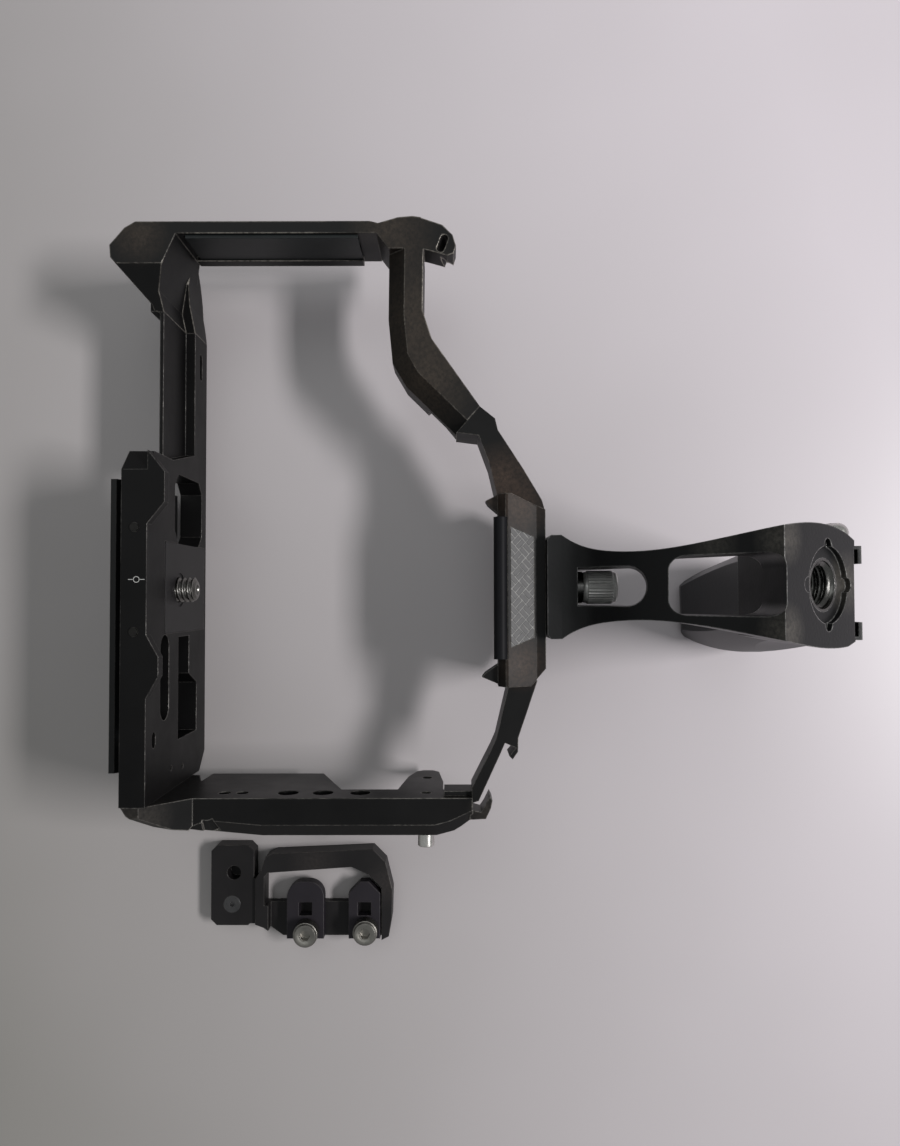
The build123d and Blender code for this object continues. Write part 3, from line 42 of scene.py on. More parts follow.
# ---- camera ---------------------------------------------------------------------------------
# A hand-held telephone's wide lens looks straight down on the cage, with the base plate to the
# left and the top handle to the right. The three turns are the small leans of the hand.
CAMERA_PLACE = Vector((1.850, 69.667, 222.393)) * mm
CAMERA_LEAN = [math.radians(a) for a in (-0.098, 1.562, -0.095)]
FOCAL_PX = 866.862
FRAME_LONG_PX = 1146.0
lens = bpy.data.cameras.new("camera")
lens.lens = lens.sensor_width * FOCAL_PX / FRAME_LONG_PX
lens.clip_start = 0.01
camera = bpy.data.objects.new("camera", lens)
bpy.context.scene.collection.objects.link(camera)
lean = (Matrix.Rotation(CAMERA_LEAN[2], 3, "Z") @ Matrix.Rotation(CAMERA_LEAN[1], 3, "Y")
        @ Matrix.Rotation(CAMERA_LEAN[0], 3, "X"))
turn = Matrix((lean.col[1], -lean.col[0], lean.col[2])).transposed().to_4x4()
camera.matrix_world = Matrix.Translation(CAMERA_PLACE) @ turn
bpy.context.scene.camera = camera

# ---- table ----------------------------------------------------------------------------------
# The cage lies on a pale, faintly lilac laminate board. It is wiped clean and slightly glossy. Its
# colour carries painted light: it is painted brighter towards the handle and the grip side, where the
# room's lamps are nearest, and darker away from them.
TABLE_Z = -23.0 * mm
TABLE_HALF = 3.0
TABLE_PAINTED_DIM = (0.188, 0.182, 0.166, 1)
TABLE_PAINTED_BRIGHT = (0.555, 0.512, 0.545, 1)
PAINTED_LIGHT_WAY = (-0.42, 1.25, 0)       # the board brightens along this, between the two reaches
PAINTED_LIGHT_REACH = (-0.170, 0.268)
CLOUD_SCALE = 6.0                  # faint clouds in the laminate, about a hand wide
CLOUD_DEPTH = 0.06


def material(name, **sockets):
    """Principled material whose constant sockets are set from the keywords."""
    made = bpy.data.materials.new(name)
    made.use_nodes = True
    shader = made.node_tree.nodes["Principled BSDF"]
    for socket, value in sockets.items():
        shader.inputs[socket.replace("_", " ")].default_value = value
    return made, made.node_tree, shader


def add(tree, kind, inputs=None, **settings):
    """Adds one node; every input is a plain value or the output of another node."""
    made = tree.nodes.new(kind)
    for key, value in settings.items():
        setattr(made, key, value)
    for socket, value in (inputs or {}).items():
        if isinstance(value, bpy.types.NodeSocket):
            tree.links.new(value, made.inputs[socket])
        else:
            made.inputs[socket].default_value = value
    return made


def object_place(tree):
    """The point on the surface, in the object's own metres."""
    return add(tree, "ShaderNodeTexCoord").outputs["Object"]


def noise(tree, place, scale, detail=3.0, rough=0.5):
    """Noise of about 1/scale metres a feature, from 0 to 1."""
    return add(tree, "ShaderNodeTexNoise", {"Vector": place, "Scale": scale, "Detail": detail,
                                            "Roughness": rough}).outputs["Fac"]


def spread(tree, value, low, high, to_low=0.0, to_high=1.0):
    """Maps low..high to to_low..to_high and holds the ends."""
    return add(tree, "ShaderNodeMapRange", {"Value": value, "From Min": low, "From Max": high,
                                            "To Min": to_low, "To Max": to_high}).outputs[0]


def blend_colour(tree, amount, first, second):
    """First colour where the amount is 0, second where it is 1."""
    made = add(tree, "ShaderNodeMix", {"Factor": amount}, data_type="RGBA")
    for socket, value in ((made.inputs[6], first), (made.inputs[7], second)):
        if isinstance(value, bpy.types.NodeSocket):
            tree.links.new(value, socket)
        else:
            socket.default_value = value
    return made.outputs[2]


def calc(tree, way, first, second=0.0):
    """One step of arithmetic; a step with one operand leaves the second out."""
    return add(tree, "ShaderNodeMath", {0: first, 1: second}, operation=way).outputs[0]


def new_object(name, mesh):
    """Object of the scene, at the origin and unscaled."""
    made = bpy.data.objects.new(name, mesh)
    bpy.context.scene.collection.objects.link(made)
    return made


laminate, tree, shader = material("laminate", Roughness=0.34, Specular_IOR_Level=0.35)
place = object_place(tree)
along = add(tree, "ShaderNodeVectorMath", {0: place, 1: PAINTED_LIGHT_WAY}, operation="DOT_PRODUCT")
painted_light_side = spread(tree, along.outputs["Value"], *PAINTED_LIGHT_REACH)
cloudy = spread(tree, noise(tree, place, CLOUD_SCALE), 0.3, 0.7, -CLOUD_DEPTH, CLOUD_DEPTH)
# Painted light and shade: the board's colour runs from the dim colour to the bright one along the way
# towards the lamps.
tree.links.new(blend_colour(tree, calc(tree, "ADD", painted_light_side, cloudy), TABLE_PAINTED_DIM, TABLE_PAINTED_BRIGHT),
               shader.inputs["Base Color"])
corners = np.array([(-1, -1), (1, -1), (1, 1), (-1, 1)]) * TABLE_HALF
board = bpy.data.meshes.new("table_top")
board.from_pydata(np.c_[corners, np.full(4, TABLE_Z)], [], [(0, 1, 2, 3)])
board.materials.append(laminate)
new_object("table_top", board)

# ---- lamps ----------------------------------------------------------------------------------
# A long soft lamp stands beyond the handle, at half height, so every shadow falls towards the
# base; a wide weak one overhead and a grey room keep the shadows open.


def lamp(name, place, aim, size, watts, colour):
    """Rectangular lamp at place that looks at aim."""
    light = bpy.data.lights.new(name, "AREA")
    light.shape = "RECTANGLE"
    light.size, light.size_y = size
    light.energy = watts
    light.color = colour
    made = bpy.data.objects.new(name, light)
    bpy.context.scene.collection.objects.link(made)
    made.location = place
    made.rotation_euler = (Vector(aim) - Vector(place)).to_track_quat("-Z", "Y").to_euler()


lamp("window_lamp", place=(0.02, 0.98, 0.98), aim=(0, 0.04, -0.02), size=(0.44, 0.16), watts=16.6,
     colour=(1, 0.985, 0.985))
lamp("room_fill", place=(-0.45, -0.10, 1.10), aim=(0, 0.05, 0), size=(0.9, 0.9), watts=2.3,
     colour=(0.97, 1, 0.99))
ROOM_COLOUR = (0.93, 0.96, 0.96, 1)
ROOM_STRENGTH = 0.38
world = bpy.data.worlds.new("room")
bpy.context.scene.world = world
world.use_nodes = True
room = world.node_tree.nodes["Background"]
room.inputs["Color"].default_value = ROOM_COLOUR
room.inputs["Strength"].default_value = ROOM_STRENGTH
bpy.context.scene.view_settings.view_transform = "Standard"

# ---- base plate -----------------------------------------------------------------------------
# The base is milled from one aluminium bar and black anodised all over. Handling has worn the
# dye off its edges in specks and patches.


def round_edges(tree, radius):
    """Normal of the surface as if each edge had this radius."""
    return add(tree, "ShaderNodeBevel", {"Radius": radius}, samples=6).outputs[0]


def emboss(tree, shader, height, normal, strength, depth=0.05 * mm):
    """Fine relief on top of the given normal."""
    bumped = add(tree, "ShaderNodeBump", {"Strength": strength, "Distance": depth, "Height": height,
                                          "Normal": normal})
    tree.links.new(bumped.outputs[0], shader.inputs["Normal"])


def worn_metal(name, coat, bare, roughness, radius=0.35 * mm, wear=1.0, grain=2200.0, bump=0.10,
               rubs_and_sheen=(), rub_and_sheen_colour=None, sheen=0.22):
    """Dark coat over light metal. Where the rounded normal leaves the face's own normal there is an
    edge, and there the coat is worn through in specks.
    Each listed ball turns the colour towards one given colour: polished wear on most pieces, and on
    the arm and the bridge partly painted sheen as well."""
    made, tree, shader = material(name, Specular_IOR_Level=sheen)
    place = object_place(tree)
    rounded = round_edges(tree, radius)
    face = add(tree, "ShaderNodeNewGeometry").outputs["Normal"]
    alike = add(tree, "ShaderNodeVectorMath", {0: rounded, 1: face}, operation="DOT_PRODUCT")
    edge = spread(tree, alike.outputs["Value"], 0.985, 0.80)
    broad = noise(tree, place, 55.0, 4.0, 0.6)
    speck = noise(tree, place, 1300.0, 5.0, 0.65)
    patchy = spread(tree, broad, 0.36, 0.66, 0.15, 1.0)
    worn = calc(tree, "MULTIPLY", edge, calc(tree, "MULTIPLY", patchy, wear))
    worn = calc(tree, "MULTIPLY", worn, spread(tree, speck, 0.40, 0.62, 0.25, 1.0))
    colour = blend_colour(tree, spread(tree, broad, 0.3, 0.7), coat,
                          tuple(c * 1.45 for c in coat[:3]) + (1,))
    for x, y, z, reach in rubs_and_sheen:
        away = add(tree, "ShaderNodeVectorMath", {0: place, 1: (x * mm, y * mm, z * mm)},
                   operation="DISTANCE").outputs["Value"]
        near = spread(tree, away, reach * mm, 0.1 * reach * mm)
        scuff_and_sheen = calc(tree, "MULTIPLY", near, spread(tree, speck, 0.36, 0.66, 0.35, 1.0))
        colour = blend_colour(tree, calc(tree, "MULTIPLY", scuff_and_sheen, 0.8), colour, rub_and_sheen_colour)
    tree.links.new(blend_colour(tree, worn, colour, bare), shader.inputs["Base Color"])
    tree.links.new(calc(tree, "ADD", spread(tree, broad, 0.3, 0.7, -0.05, 0.07), roughness),
                   shader.inputs["Roughness"])
    tree.links.new(calc(tree, "MULTIPLY", worn, 0.8), shader.inputs["Metallic"])
    emboss(tree, shader, noise(tree, place, grain), rounded, bump)
    return made


def paint(made, *nodes):
    """Puts a material on every slot of the named nodes."""
    for node in nodes:
        if not cad[node].material_slots:
            cad[node].data.materials.append(made)
        for slot in cad[node].material_slots:
            slot.material = made


BARE_GREY = (0.30, 0.285, 0.27, 1)
black_anodised = worn_metal("black_anodised", (0.0030, 0.0029, 0.0030, 1), BARE_GREY, 0.42,
                            sheen=0.10)
paint(black_anodised, "base_plate")

# ---- index mark -----------------------------------------------------------------------------
# A white filled engraving on the base's front face: a ring on a short line, where the lens axis
# is. It lies 0.02 mm proud, as filled paint does.
MARK_PLACE = np.array((-2.2, -2.35, 24.5)) * mm
MARK_RING = 0.66 * mm
MARK_LINE = 0.15 * mm
MARK_REACH = 1.9 * mm


def surface(points, close_rows=False):
    """Faces of a grid of points (rows, columns, 3). Each row is a closed loop, and the last row
    joins the first where asked."""
    rows, columns = points.shape[:2]
    i = np.arange(rows if close_rows else rows - 1)[:, None]
    j = np.arange(columns)[None, :]
    ahead, beside = (i + 1) % rows, (j + 1) % columns
    quads = np.stack([i * columns + j, i * columns + beside, ahead * columns + beside,
                      ahead * columns + j], -1)
    return points.reshape(-1, 3), quads.reshape(-1, 4)


SMOOTH_ANGLE = math.radians(35)    # edges sharper than this stay crisp


def joined_mesh(name, shells):
    """One mesh of several shells, with doubles merged and all faces turned outwards. A face that
    gives its last corner twice is a triangle."""
    start, points, faces = 0, [], []
    for shell_points, shell_faces in shells:
        points.append(shell_points)
        faces += [face[:3] if face[2] == face[3] else face for face in (shell_faces + start).tolist()]
        start += len(shell_points)
    mesh = bpy.data.meshes.new(name)
    mesh.from_pydata(np.concatenate(points), [], faces)
    work = bmesh.new()
    work.from_mesh(mesh)
    bmesh.ops.remove_doubles(work, verts=work.verts, dist=2e-7)
    bmesh.ops.dissolve_degenerate(work, edges=work.edges, dist=1e-7)
    bmesh.ops.recalc_face_normals(work, faces=work.faces)
    work.to_mesh(mesh)
    work.free()
    mesh.polygons.foreach_set("use_smooth", np.ones(len(mesh.polygons), bool))
    mesh.set_sharp_from_angle(angle=SMOOTH_ANGLE)
    return mesh


def dress(name, mesh, made, body, slot, *replaced):
    """Makes the piece, gives it its material, and lets it ride on its body."""
    piece = new_object(name, mesh)
    mesh.materials.append(made)
    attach(piece, body)
    if replaced:
        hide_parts(*replaced)


def flat_ring(centre, middle, width, height, steps=48):
    """Square-section ring lying in the X-Y plane: a rectangle carried round a circle."""
    turn = np.linspace(0, 2 * np.pi, steps, endpoint=False)[:, None]
    radius = middle + width / 2 * np.array([-1, 1, 1, -1])
    rise = height * np.array([-1, -1, 1, 1])
    return np.stack([centre[0] + radius * np.cos(turn), centre[1] + radius * np.sin(turn),
                     centre[2] + rise + 0 * turn], -1)


def bar_y(centre, y_low, y_high, width, height):
    """Thin bar along Y: the same rectangle at its two ends, pinched shut beyond them."""
    across = width / 2 * np.array([-1, 1, 1, -1])
    rise = height * np.array([-1, -1, 1, 1])
    rows = [(y_low, 0.0), (y_low, 1.0), (y_high, 1.0), (y_high, 0.0)]
    return np.stack([np.stack([centre[0] + s * across, np.full(4, centre[1] + y),
                               centre[2] + rise * s], -1) for y, s in rows])


mark_white, tree, shader = material("mark_white", Base_Color=(0.33, 0.33, 0.32, 1), Roughness=0.6)
MARK_PROUD = 0.02 * mm
mark_shells = [surface(flat_ring(MARK_PLACE, MARK_RING, MARK_LINE, MARK_PROUD), close_rows=True)]
for low, high in ((-MARK_REACH, -MARK_RING), (MARK_RING, MARK_REACH)):
    mark_shells.append(surface(bar_y(MARK_PLACE, low, high, MARK_LINE, MARK_PROUD)))
dress("index_mark", joined_mesh("index_mark", mark_shells), mark_white, "cage", "bright_steel")

# ---- seat pad, front pins and quick-release foot ----------------------------------------------
# A thin hard-rubber pad is let into the seat. Two steel dowel ends show in the base's front, and
# the dovetail rail below is bolted on with four flat-head screws.


def rubbery(name, colour, roughness, grain=900.0, bump=0.15, radius=0.25 * mm, sheen=0.25):
    """Moulded rubber: one colour with a faint cloud, a fine pebble and softened edges."""
    made, tree, shader = material(name, Roughness=roughness, Specular_IOR_Level=sheen)
    place = object_place(tree)
    cloud = spread(tree, noise(tree, place, 80.0, 4.0, 0.6), 0.3, 0.7)
    brighter = tuple(c * 1.5 for c in colour[:3]) + (1,)
    tree.links.new(blend_colour(tree, cloud, colour, brighter), shader.inputs["Base Color"])
    emboss(tree, shader, noise(tree, place, grain), round_edges(tree, radius), bump)
    return made


def bright_metal(name, colour, roughness, streak=(1.0, 1.0, 1.0), radius=0.12 * mm, metallic=1.0):
    """Turned or rolled metal: fine streaks along one direction, a little tarnish, round edges."""
    made, tree, shader = material(name, Metallic=metallic)
    place = object_place(tree)
    stretched = add(tree, "ShaderNodeMapping", {"Vector": place, "Scale": streak}).outputs[0]
    lines = noise(tree, stretched, 2500.0, 4.0, 0.6)
    cloud = spread(tree, noise(tree, place, 260.0, 3.0), 0.3, 0.7)
    dull = tuple(c * 0.68 for c in colour[:3]) + (1,)
    tree.links.new(blend_colour(tree, cloud, colour, dull), shader.inputs["Base Color"])
    tree.links.new(spread(tree, lines, 0.3, 0.7, roughness * 0.75, roughness * 1.35),
                   shader.inputs["Roughness"])
    emboss(tree, shader, lines, round_edges(tree, radius), 0.12, 0.02 * mm)
    return made


seat_rubber = rubbery("seat_rubber", (0.0085, 0.0080, 0.0085, 1), 0.52)
paint(seat_rubber, "camera_pad")
rail_anodised = worn_metal("rail_anodised", (0.0040, 0.0040, 0.0042, 1), BARE_GREY, 0.36, wear=0.5)
paint(rail_anodised, "dovetail_foot")
bright_steel = bright_metal("bright_steel", (0.60, 0.585, 0.56, 1), 0.26)
paint(bright_steel, "foot_screws")
pin_steel = bright_metal("pin_steel", (0.028, 0.027, 0.026, 1), 0.34)
paint(pin_steel, "front_pins")

# ---- camera screw ---------------------------------------------------------------------------
# A captive 1/4 inch screw, turned from stainless steel: coin-slot head in the rail, relieved neck
# for its retaining ring, and a short thread standing out of the seat.
SCREW_MAJOR_R = 3.175 * mm
SCREW_MINOR_R = 2.62 * mm
SCREW_PITCH = 1.27 * mm
SCREW_THREAD_LOW = -2.2 * mm
SCREW_CUT = -1.9 * mm     # below this the head and neck are the CAD's own
SCREW_TIP = 4.5 * mm
TURN_STEPS = 56           # facets round a turned piece


def turned(place, axis, heights, radii, steps=TURN_STEPS):
    """Turned surface: radius (rows, or rows x steps) at each height along the axis through place."""
    axis = np.array(axis, float)
    side = np.cross(axis, (0.31, 0.17, 0.93))
    side /= np.linalg.norm(side)
    other = np.cross(axis, side)
    turn = np.linspace(0, 2 * np.pi, steps, endpoint=False)
    radii = np.broadcast_to(np.array(radii, float).reshape(len(heights), -1), (len(heights), steps))
    return (np.array(place) + np.array(heights)[:, None, None] * axis
            + radii[..., None] * (np.cos(turn)[None, :, None] * side
                                  + np.sin(turn)[None, :, None] * other))


def thread_radii(heights, crest, root, pitch):
    """Radius of a V thread: it falls from crest to root and back once a pitch, and the phase
    moves on by one pitch a turn."""
    turn = np.linspace(0, 1, TURN_STEPS, endpoint=False)[None, :]
    phase = (np.array(heights)[:, None] / pitch - turn) % 1.0
    depth = np.clip(1.25 - np.abs(2 * phase - 1) * 1.5, 0, 1)
    return crest - (crest - root) * (1 - depth)


def ring_rows(*radii):
    """Rows of a plain turned stretch: each radius, the same all round."""
    return np.repeat(np.array(radii, float)[:, None], TURN_STEPS, 1)


def cad_copy_below(node, height):
    """Closed triangle shell of the part of a CAD node that lies below a height in Y."""
    work = bmesh.new()
    work.from_mesh(cad[node].data)
    bmesh.ops.remove_doubles(work, verts=work.verts, dist=1e-6)
    bmesh.ops.bisect_plane(work, geom=work.verts[:] + work.edges[:] + work.faces[:],
                           plane_co=(0, height, 0), plane_no=(0, 1, 0), clear_outer=True)
    bmesh.ops.holes_fill(work, edges=[e for e in work.edges if e.is_boundary])
    bmesh.ops.triangulate(work, faces=work.faces)
    mesh = bpy.data.meshes.new(node + "_copy")
    work.to_mesh(mesh)
    work.free()
    points = np.empty(len(mesh.vertices) * 3)
    mesh.vertices.foreach_get("co", points)
    faces = np.empty(len(mesh.polygons) * 3, int)
    mesh.loops.foreach_get("vertex_index", faces)
    triangles = faces.reshape(-1, 3)
    return points.reshape(-1, 3), np.c_[triangles, triangles[:, 2]]


rows = np.linspace(SCREW_THREAD_LOW, SCREW_TIP - 0.55 * mm, 64)
radii = thread_radii(rows, SCREW_MAJOR_R, SCREW_MINOR_R, SCREW_PITCH)
tip = [(SCREW_TIP - 0.5 * mm, 2.75 * mm), (SCREW_TIP - 0.1 * mm, 2.25 * mm), (SCREW_TIP, 2.1 * mm),
       (SCREW_TIP, 1.25 * mm), (SCREW_TIP - 0.35 * mm, 1.05 * mm), (SCREW_TIP - 0.35 * mm, 0)]
heights = np.r_[SCREW_THREAD_LOW, rows, [h for h, r in tip]]
radii = np.r_[ring_rows(0), radii, ring_rows(*[r for h, r in tip])]
screw_thread = surface(turned((0, 0, 0), (0, 1, 0), heights, radii))
screw_steel = bright_metal("screw_steel", (0.24, 0.234, 0.222, 1), 0.32)
screw_mesh = joined_mesh("camera_screw_threaded",
                         [screw_thread, cad_copy_below("camera_screw", SCREW_CUT)])
dress("camera_screw_threaded", screw_mesh, screw_steel, "camera_screw_body", "bright_steel",
      "camera_screw")
paint(screw_steel, "camera_screw_ring")

# ---- grip-side upright, top arm and strap lug -------------------------------------------------
# One milled piece: thin upright, dipped lower corner, strap eye and the thick top arm whose long bevel
# makes a bright ridge. The brown-grey patches on the arm and at its two corners are partly dye worn
# off where a hand holds the cage, and partly painted sheen on facets that face the light.
ARM_RUBS_AND_SHEEN = [(-66, 60, 15, 20), (-50, 64, 15, 14), (-88, 55, 15, 12), (-86, -6, 14, 8)]
arm_anodised = worn_metal("arm_anodised", (0.0045, 0.0044, 0.0045, 1), (0.40, 0.37, 0.33, 1), 0.42,
                          radius=0.55 * mm, wear=1.8, rubs_and_sheen=ARM_RUBS_AND_SHEEN,
                          rub_and_sheen_colour=(0.040, 0.031, 0.024, 1), sheen=0.15)
paint(arm_anodised, "grip_side_frame")
liner = rubbery("liner", (0.0070, 0.0085, 0.0090, 1), 0.45)
paint(liner, "grip_pad")

# ---- top bridge -----------------------------------------------------------------------------
# The bridge over the prism is milled and black anodised, and screwed to the arm at its lap. Its two
# sloping bezels are painted brown-grey, partly as dye rubbed off where they stand out most and partly
# as painted sheen on slopes that face the light.
BEZEL_RUBS_AND_SHEEN = [(-19, 86.5, 18, 8), (18, 86.5, 18, 8), (-26, 82, 14, 10)]
bridge_anodised = worn_metal("bridge_anodised", (0.0042, 0.0041, 0.0042, 1), (0.36, 0.34, 0.31, 1),
                             0.44, wear=1.3, rubs_and_sheen=BEZEL_RUBS_AND_SHEEN, rub_and_sheen_colour=(0.056, 0.038, 0.029, 1),
                             sheen=0.12)
paint(bridge_anodised, "top_bridge")

# ---- bumper and woven inlay -------------------------------------------------------------------
# A round moulded rubber bar cushions the camera's prism. Beside it a thin plastic plate is glued
# into the bridge's face; it is printed with a basket weave of thin grey lines and has no words.
bumper_rubber = rubbery("bumper_rubber", (0.005, 0.005, 0.006, 1), 0.50, bump=0.05, sheen=0.08)
paint(bumper_rubber, "bridge_pad")

WEAVE_CELL = 2.6 * mm
WEAVE_LINE = 0.09         # share of a strip's width
INLAY_FALL = 3.0          # how the plate slopes: its fall in Z over its width in Y
INLAY_WIDTH = 6.9
INLAY_TILT = math.atan2(INLAY_FALL, INLAY_WIDTH)
WEAVE_GROUND = (0.012, 0.012, 0.013, 1)
WEAVE_DUST = (0.030, 0.029, 0.030, 1)
WEAVE_GREY = (0.20, 0.196, 0.19, 1)
weave_plastic, tree, shader = material("weave_plastic", Roughness=0.42, Specular_IOR_Level=0.3)
place = object_place(tree)
flat = add(tree, "ShaderNodeMapping", {"Vector": place, "Rotation": (INLAY_TILT, 0, 0)}).outputs[0]
turned_flat = add(tree, "ShaderNodeMapping", {"Vector": flat, "Rotation": (0, 0, math.radians(45)),
                                              "Scale": (1 / WEAVE_CELL, 1 / WEAVE_CELL, 1)}).outputs[0]
across = add(tree, "ShaderNodeSeparateXYZ", {"Vector": turned_flat})


def strip_lines(tree, value, strips, width):
    """1 on thin lines that cut each cell into strips, from the distance to the nearest line."""
    inside = calc(tree, "FRACT", calc(tree, "MULTIPLY", value, float(strips)))
    away = calc(tree, "ABSOLUTE", calc(tree, "SUBTRACT", inside, 0.5))
    return spread(tree, away, 0.5 - width * 1.6, 0.5 - width * 0.5)


odd = add(tree, "ShaderNodeTexChecker", {"Vector": turned_flat, "Scale": 1.0}).outputs["Fac"]
one_way = strip_lines(tree, across.outputs["X"], 2, WEAVE_LINE)
other_way = strip_lines(tree, across.outputs["Y"], 2, WEAVE_LINE)
edges = calc(tree, "MAXIMUM", strip_lines(tree, across.outputs["X"], 1, WEAVE_LINE / 2),
             strip_lines(tree, across.outputs["Y"], 1, WEAVE_LINE / 2))
inner = add(tree, "ShaderNodeMix", {"Factor": odd, 2: one_way, 3: other_way}, data_type="FLOAT")
lines = calc(tree, "MAXIMUM", inner.outputs[0], edges)
worn_print = spread(tree, noise(tree, place, 700.0, 5.0, 0.65), 0.35, 0.62, 0.25, 0.95)
shown = calc(tree, "MULTIPLY", lines, worn_print)
ground = blend_colour(tree, noise(tree, place, 900.0, 5.0, 0.7), WEAVE_GROUND, WEAVE_DUST)
tree.links.new(blend_colour(tree, shown, ground, WEAVE_GREY), shader.inputs["Base Color"])
relief = add(tree, "ShaderNodeBump", {"Strength": 0.5, "Distance": 0.08 * mm, "Height": lines})
tree.links.new(relief.outputs[0], shader.inputs["Normal"])
paint(weave_plastic, "weave_inlay")

# ---- port wall, its screws and the frame's screws ---------------------------------------------
# A milled wall with tapped holes. Its outer front edge is bevelled and worn bright; a steel
# cylinder-head screw stands out of its side.
WALL_RUBS = [(53, -2, 22, 8), (53, 78, 12, 6)]
wall_anodised = worn_metal("wall_anodised", (0.0038, 0.0037, 0.0038, 1), (0.38, 0.36, 0.33, 1), 0.38,
                           radius=0.45 * mm, wear=1.7, rubs_and_sheen=WALL_RUBS,
                           rub_and_sheen_colour=(0.042, 0.037, 0.033, 1), sheen=0.12)
paint(wall_anodised, "port_side_wall")
paint(bright_steel, "frame_screws")


def hex_radii(across_flats, steps=TURN_STEPS):
    """Radius of a hexagon round its middle: the flat's distance over the cosine of the angle."""
    turn = np.linspace(0, 2 * np.pi, steps, endpoint=False)
    return across_flats / 2 / np.cos((turn + np.pi / 6) % (np.pi / 3) - np.pi / 6)


def socketed(place, axis, rows, hex_flats, depth):
    """Closes a turned screw with a chamfered hexagon socket of the given depth."""
    top = rows[-1][0]
    chamfer, cone = 0.1 * mm, 0.15 * mm
    socket = hex_radii(hex_flats)
    heights = [h for h, r in rows] + [top, top - chamfer, top - depth, top - depth - cone]
    radii = [np.full(TURN_STEPS, r) for h, r in rows] + [socket * 1.06, socket, socket, socket * 0]
    return surface(turned(place, axis, heights, np.array(radii)))


def cap_head(place, axis, radius, height, shank_radius, shank_length, hex_flats):
    """Cylinder-head screw: shank, straight head with softened rims and a hexagon socket."""
    soft = 0.22 * mm
    rows = [(-shank_length, 0), (-shank_length, shank_radius), (0, shank_radius),
            (0, radius - soft), (soft, radius), (height - soft, radius), (height, radius - soft)]
    return socketed(place, axis, rows, hex_flats, 0.45 * height)


SIDE_SCREW_PLACE = (59.3 * mm, 63.4 * mm, 9.2 * mm)
side_screw = cap_head(SIDE_SCREW_PLACE, (1, 0, 0), radius=2.0 * mm, height=3.2 * mm,
                      shank_radius=1.2 * mm, shank_length=9.0 * mm, hex_flats=1.5 * mm)
dress("port_side_screw_turned", joined_mesh("port_side_screw_turned", [side_screw]), bright_steel,
      "cage", "bright_steel", "port_side_screw")

# ---- handle body and its textured grip ----------------------------------------------------------
# The handle is a milled post with a fine leather-like coat on its head. Fingers have rubbed it
# through beside the window, and the rims of window, slot and socket are bright.
HANDLE_RUBS = [(-9.2, 133.0, 57, 6), (8.6, 133.5, 57, 6), (-8.6, 125, 45, 7), (-1, 152, 43, 7)]
handle_black = worn_metal("handle_black", (0.0048, 0.0048, 0.0052, 1), (0.42, 0.41, 0.40, 1), 0.40,
                          radius=0.4 * mm, wear=1.5, grain=1500.0, bump=0.60, rubs_and_sheen=HANDLE_RUBS,
                          rub_and_sheen_colour=(0.085, 0.078, 0.068, 1), sheen=0.20)
paint(handle_black, "handle_body", "shoe_rails")
grip_cover = rubbery("grip_cover", (0.0075, 0.0078, 0.0090, 1), 0.40, grain=1100.0, bump=0.45)
paint(grip_cover, "handle_grip")
paint(bright_steel, "shoe_screws", "handle_pins")

# ---- front thread bush ------------------------------------------------------------------------
# A steel bush with a 3/8 inch thread is pressed into the socket of the slanted face. It is turned
# and tapped, and the crests of its thread catch the light.
HANDLE_X = -0.4 * mm      # the handle's middle
FACE_LOW = np.array((132.7, 58.5)) * mm
FACE_HIGH = np.array((154.2, 40.6)) * mm
FACE_NORMAL = np.array((0, FACE_LOW[1] - FACE_HIGH[1], FACE_HIGH[0] - FACE_LOW[0]))
FACE_NORMAL = FACE_NORMAL / np.linalg.norm(FACE_NORMAL)
BUSH_UP = 0.6001          # share of the slanted face below the socket
BUSH_SUNK = 1.2 * mm
BUSH_R = 5.4 * mm
BUSH_SHY = 0.02 * mm      # its end lies this far under the socket's floor
BUSH_LIP_R = 4.95 * mm    # the mouth narrows from the lip, over this depth
BUSH_MOUTH_R = 4.85 * mm
BUSH_MOUTH = 0.35 * mm
BUSH_THREAD_START = 0.75 * mm
BUSH_LENGTH = 9.0 * mm
BUSH_PITCH = 1.5875 * mm
BUSH_CREST = 3.97 * mm
BUSH_ROOT = 4.72 * mm
middle = FACE_LOW + BUSH_UP * (FACE_HIGH - FACE_LOW)
seat = np.array((HANDLE_X, *middle)) - BUSH_SUNK * FACE_NORMAL
rows = np.linspace(-BUSH_THREAD_START, -BUSH_LENGTH, 70)
inner = thread_radii(rows, BUSH_ROOT, BUSH_CREST, BUSH_PITCH)
heights = np.r_[-BUSH_LENGTH, -BUSH_SHY, -BUSH_SHY, -BUSH_MOUTH, rows, -BUSH_LENGTH]
radii = np.r_[ring_rows(BUSH_R, BUSH_R, BUSH_LIP_R, BUSH_MOUTH_R), inner, ring_rows(BUSH_R)]
bush = surface(turned(seat, FACE_NORMAL, heights, radii))
bush_steel = bright_metal("bush_steel", (0.12, 0.118, 0.113, 1), 0.24)
dress("front_thread_bush_cut", joined_mesh("front_thread_bush_cut", [bush]), bush_steel, "handle",
      "bright_steel", "front_thread_bush")

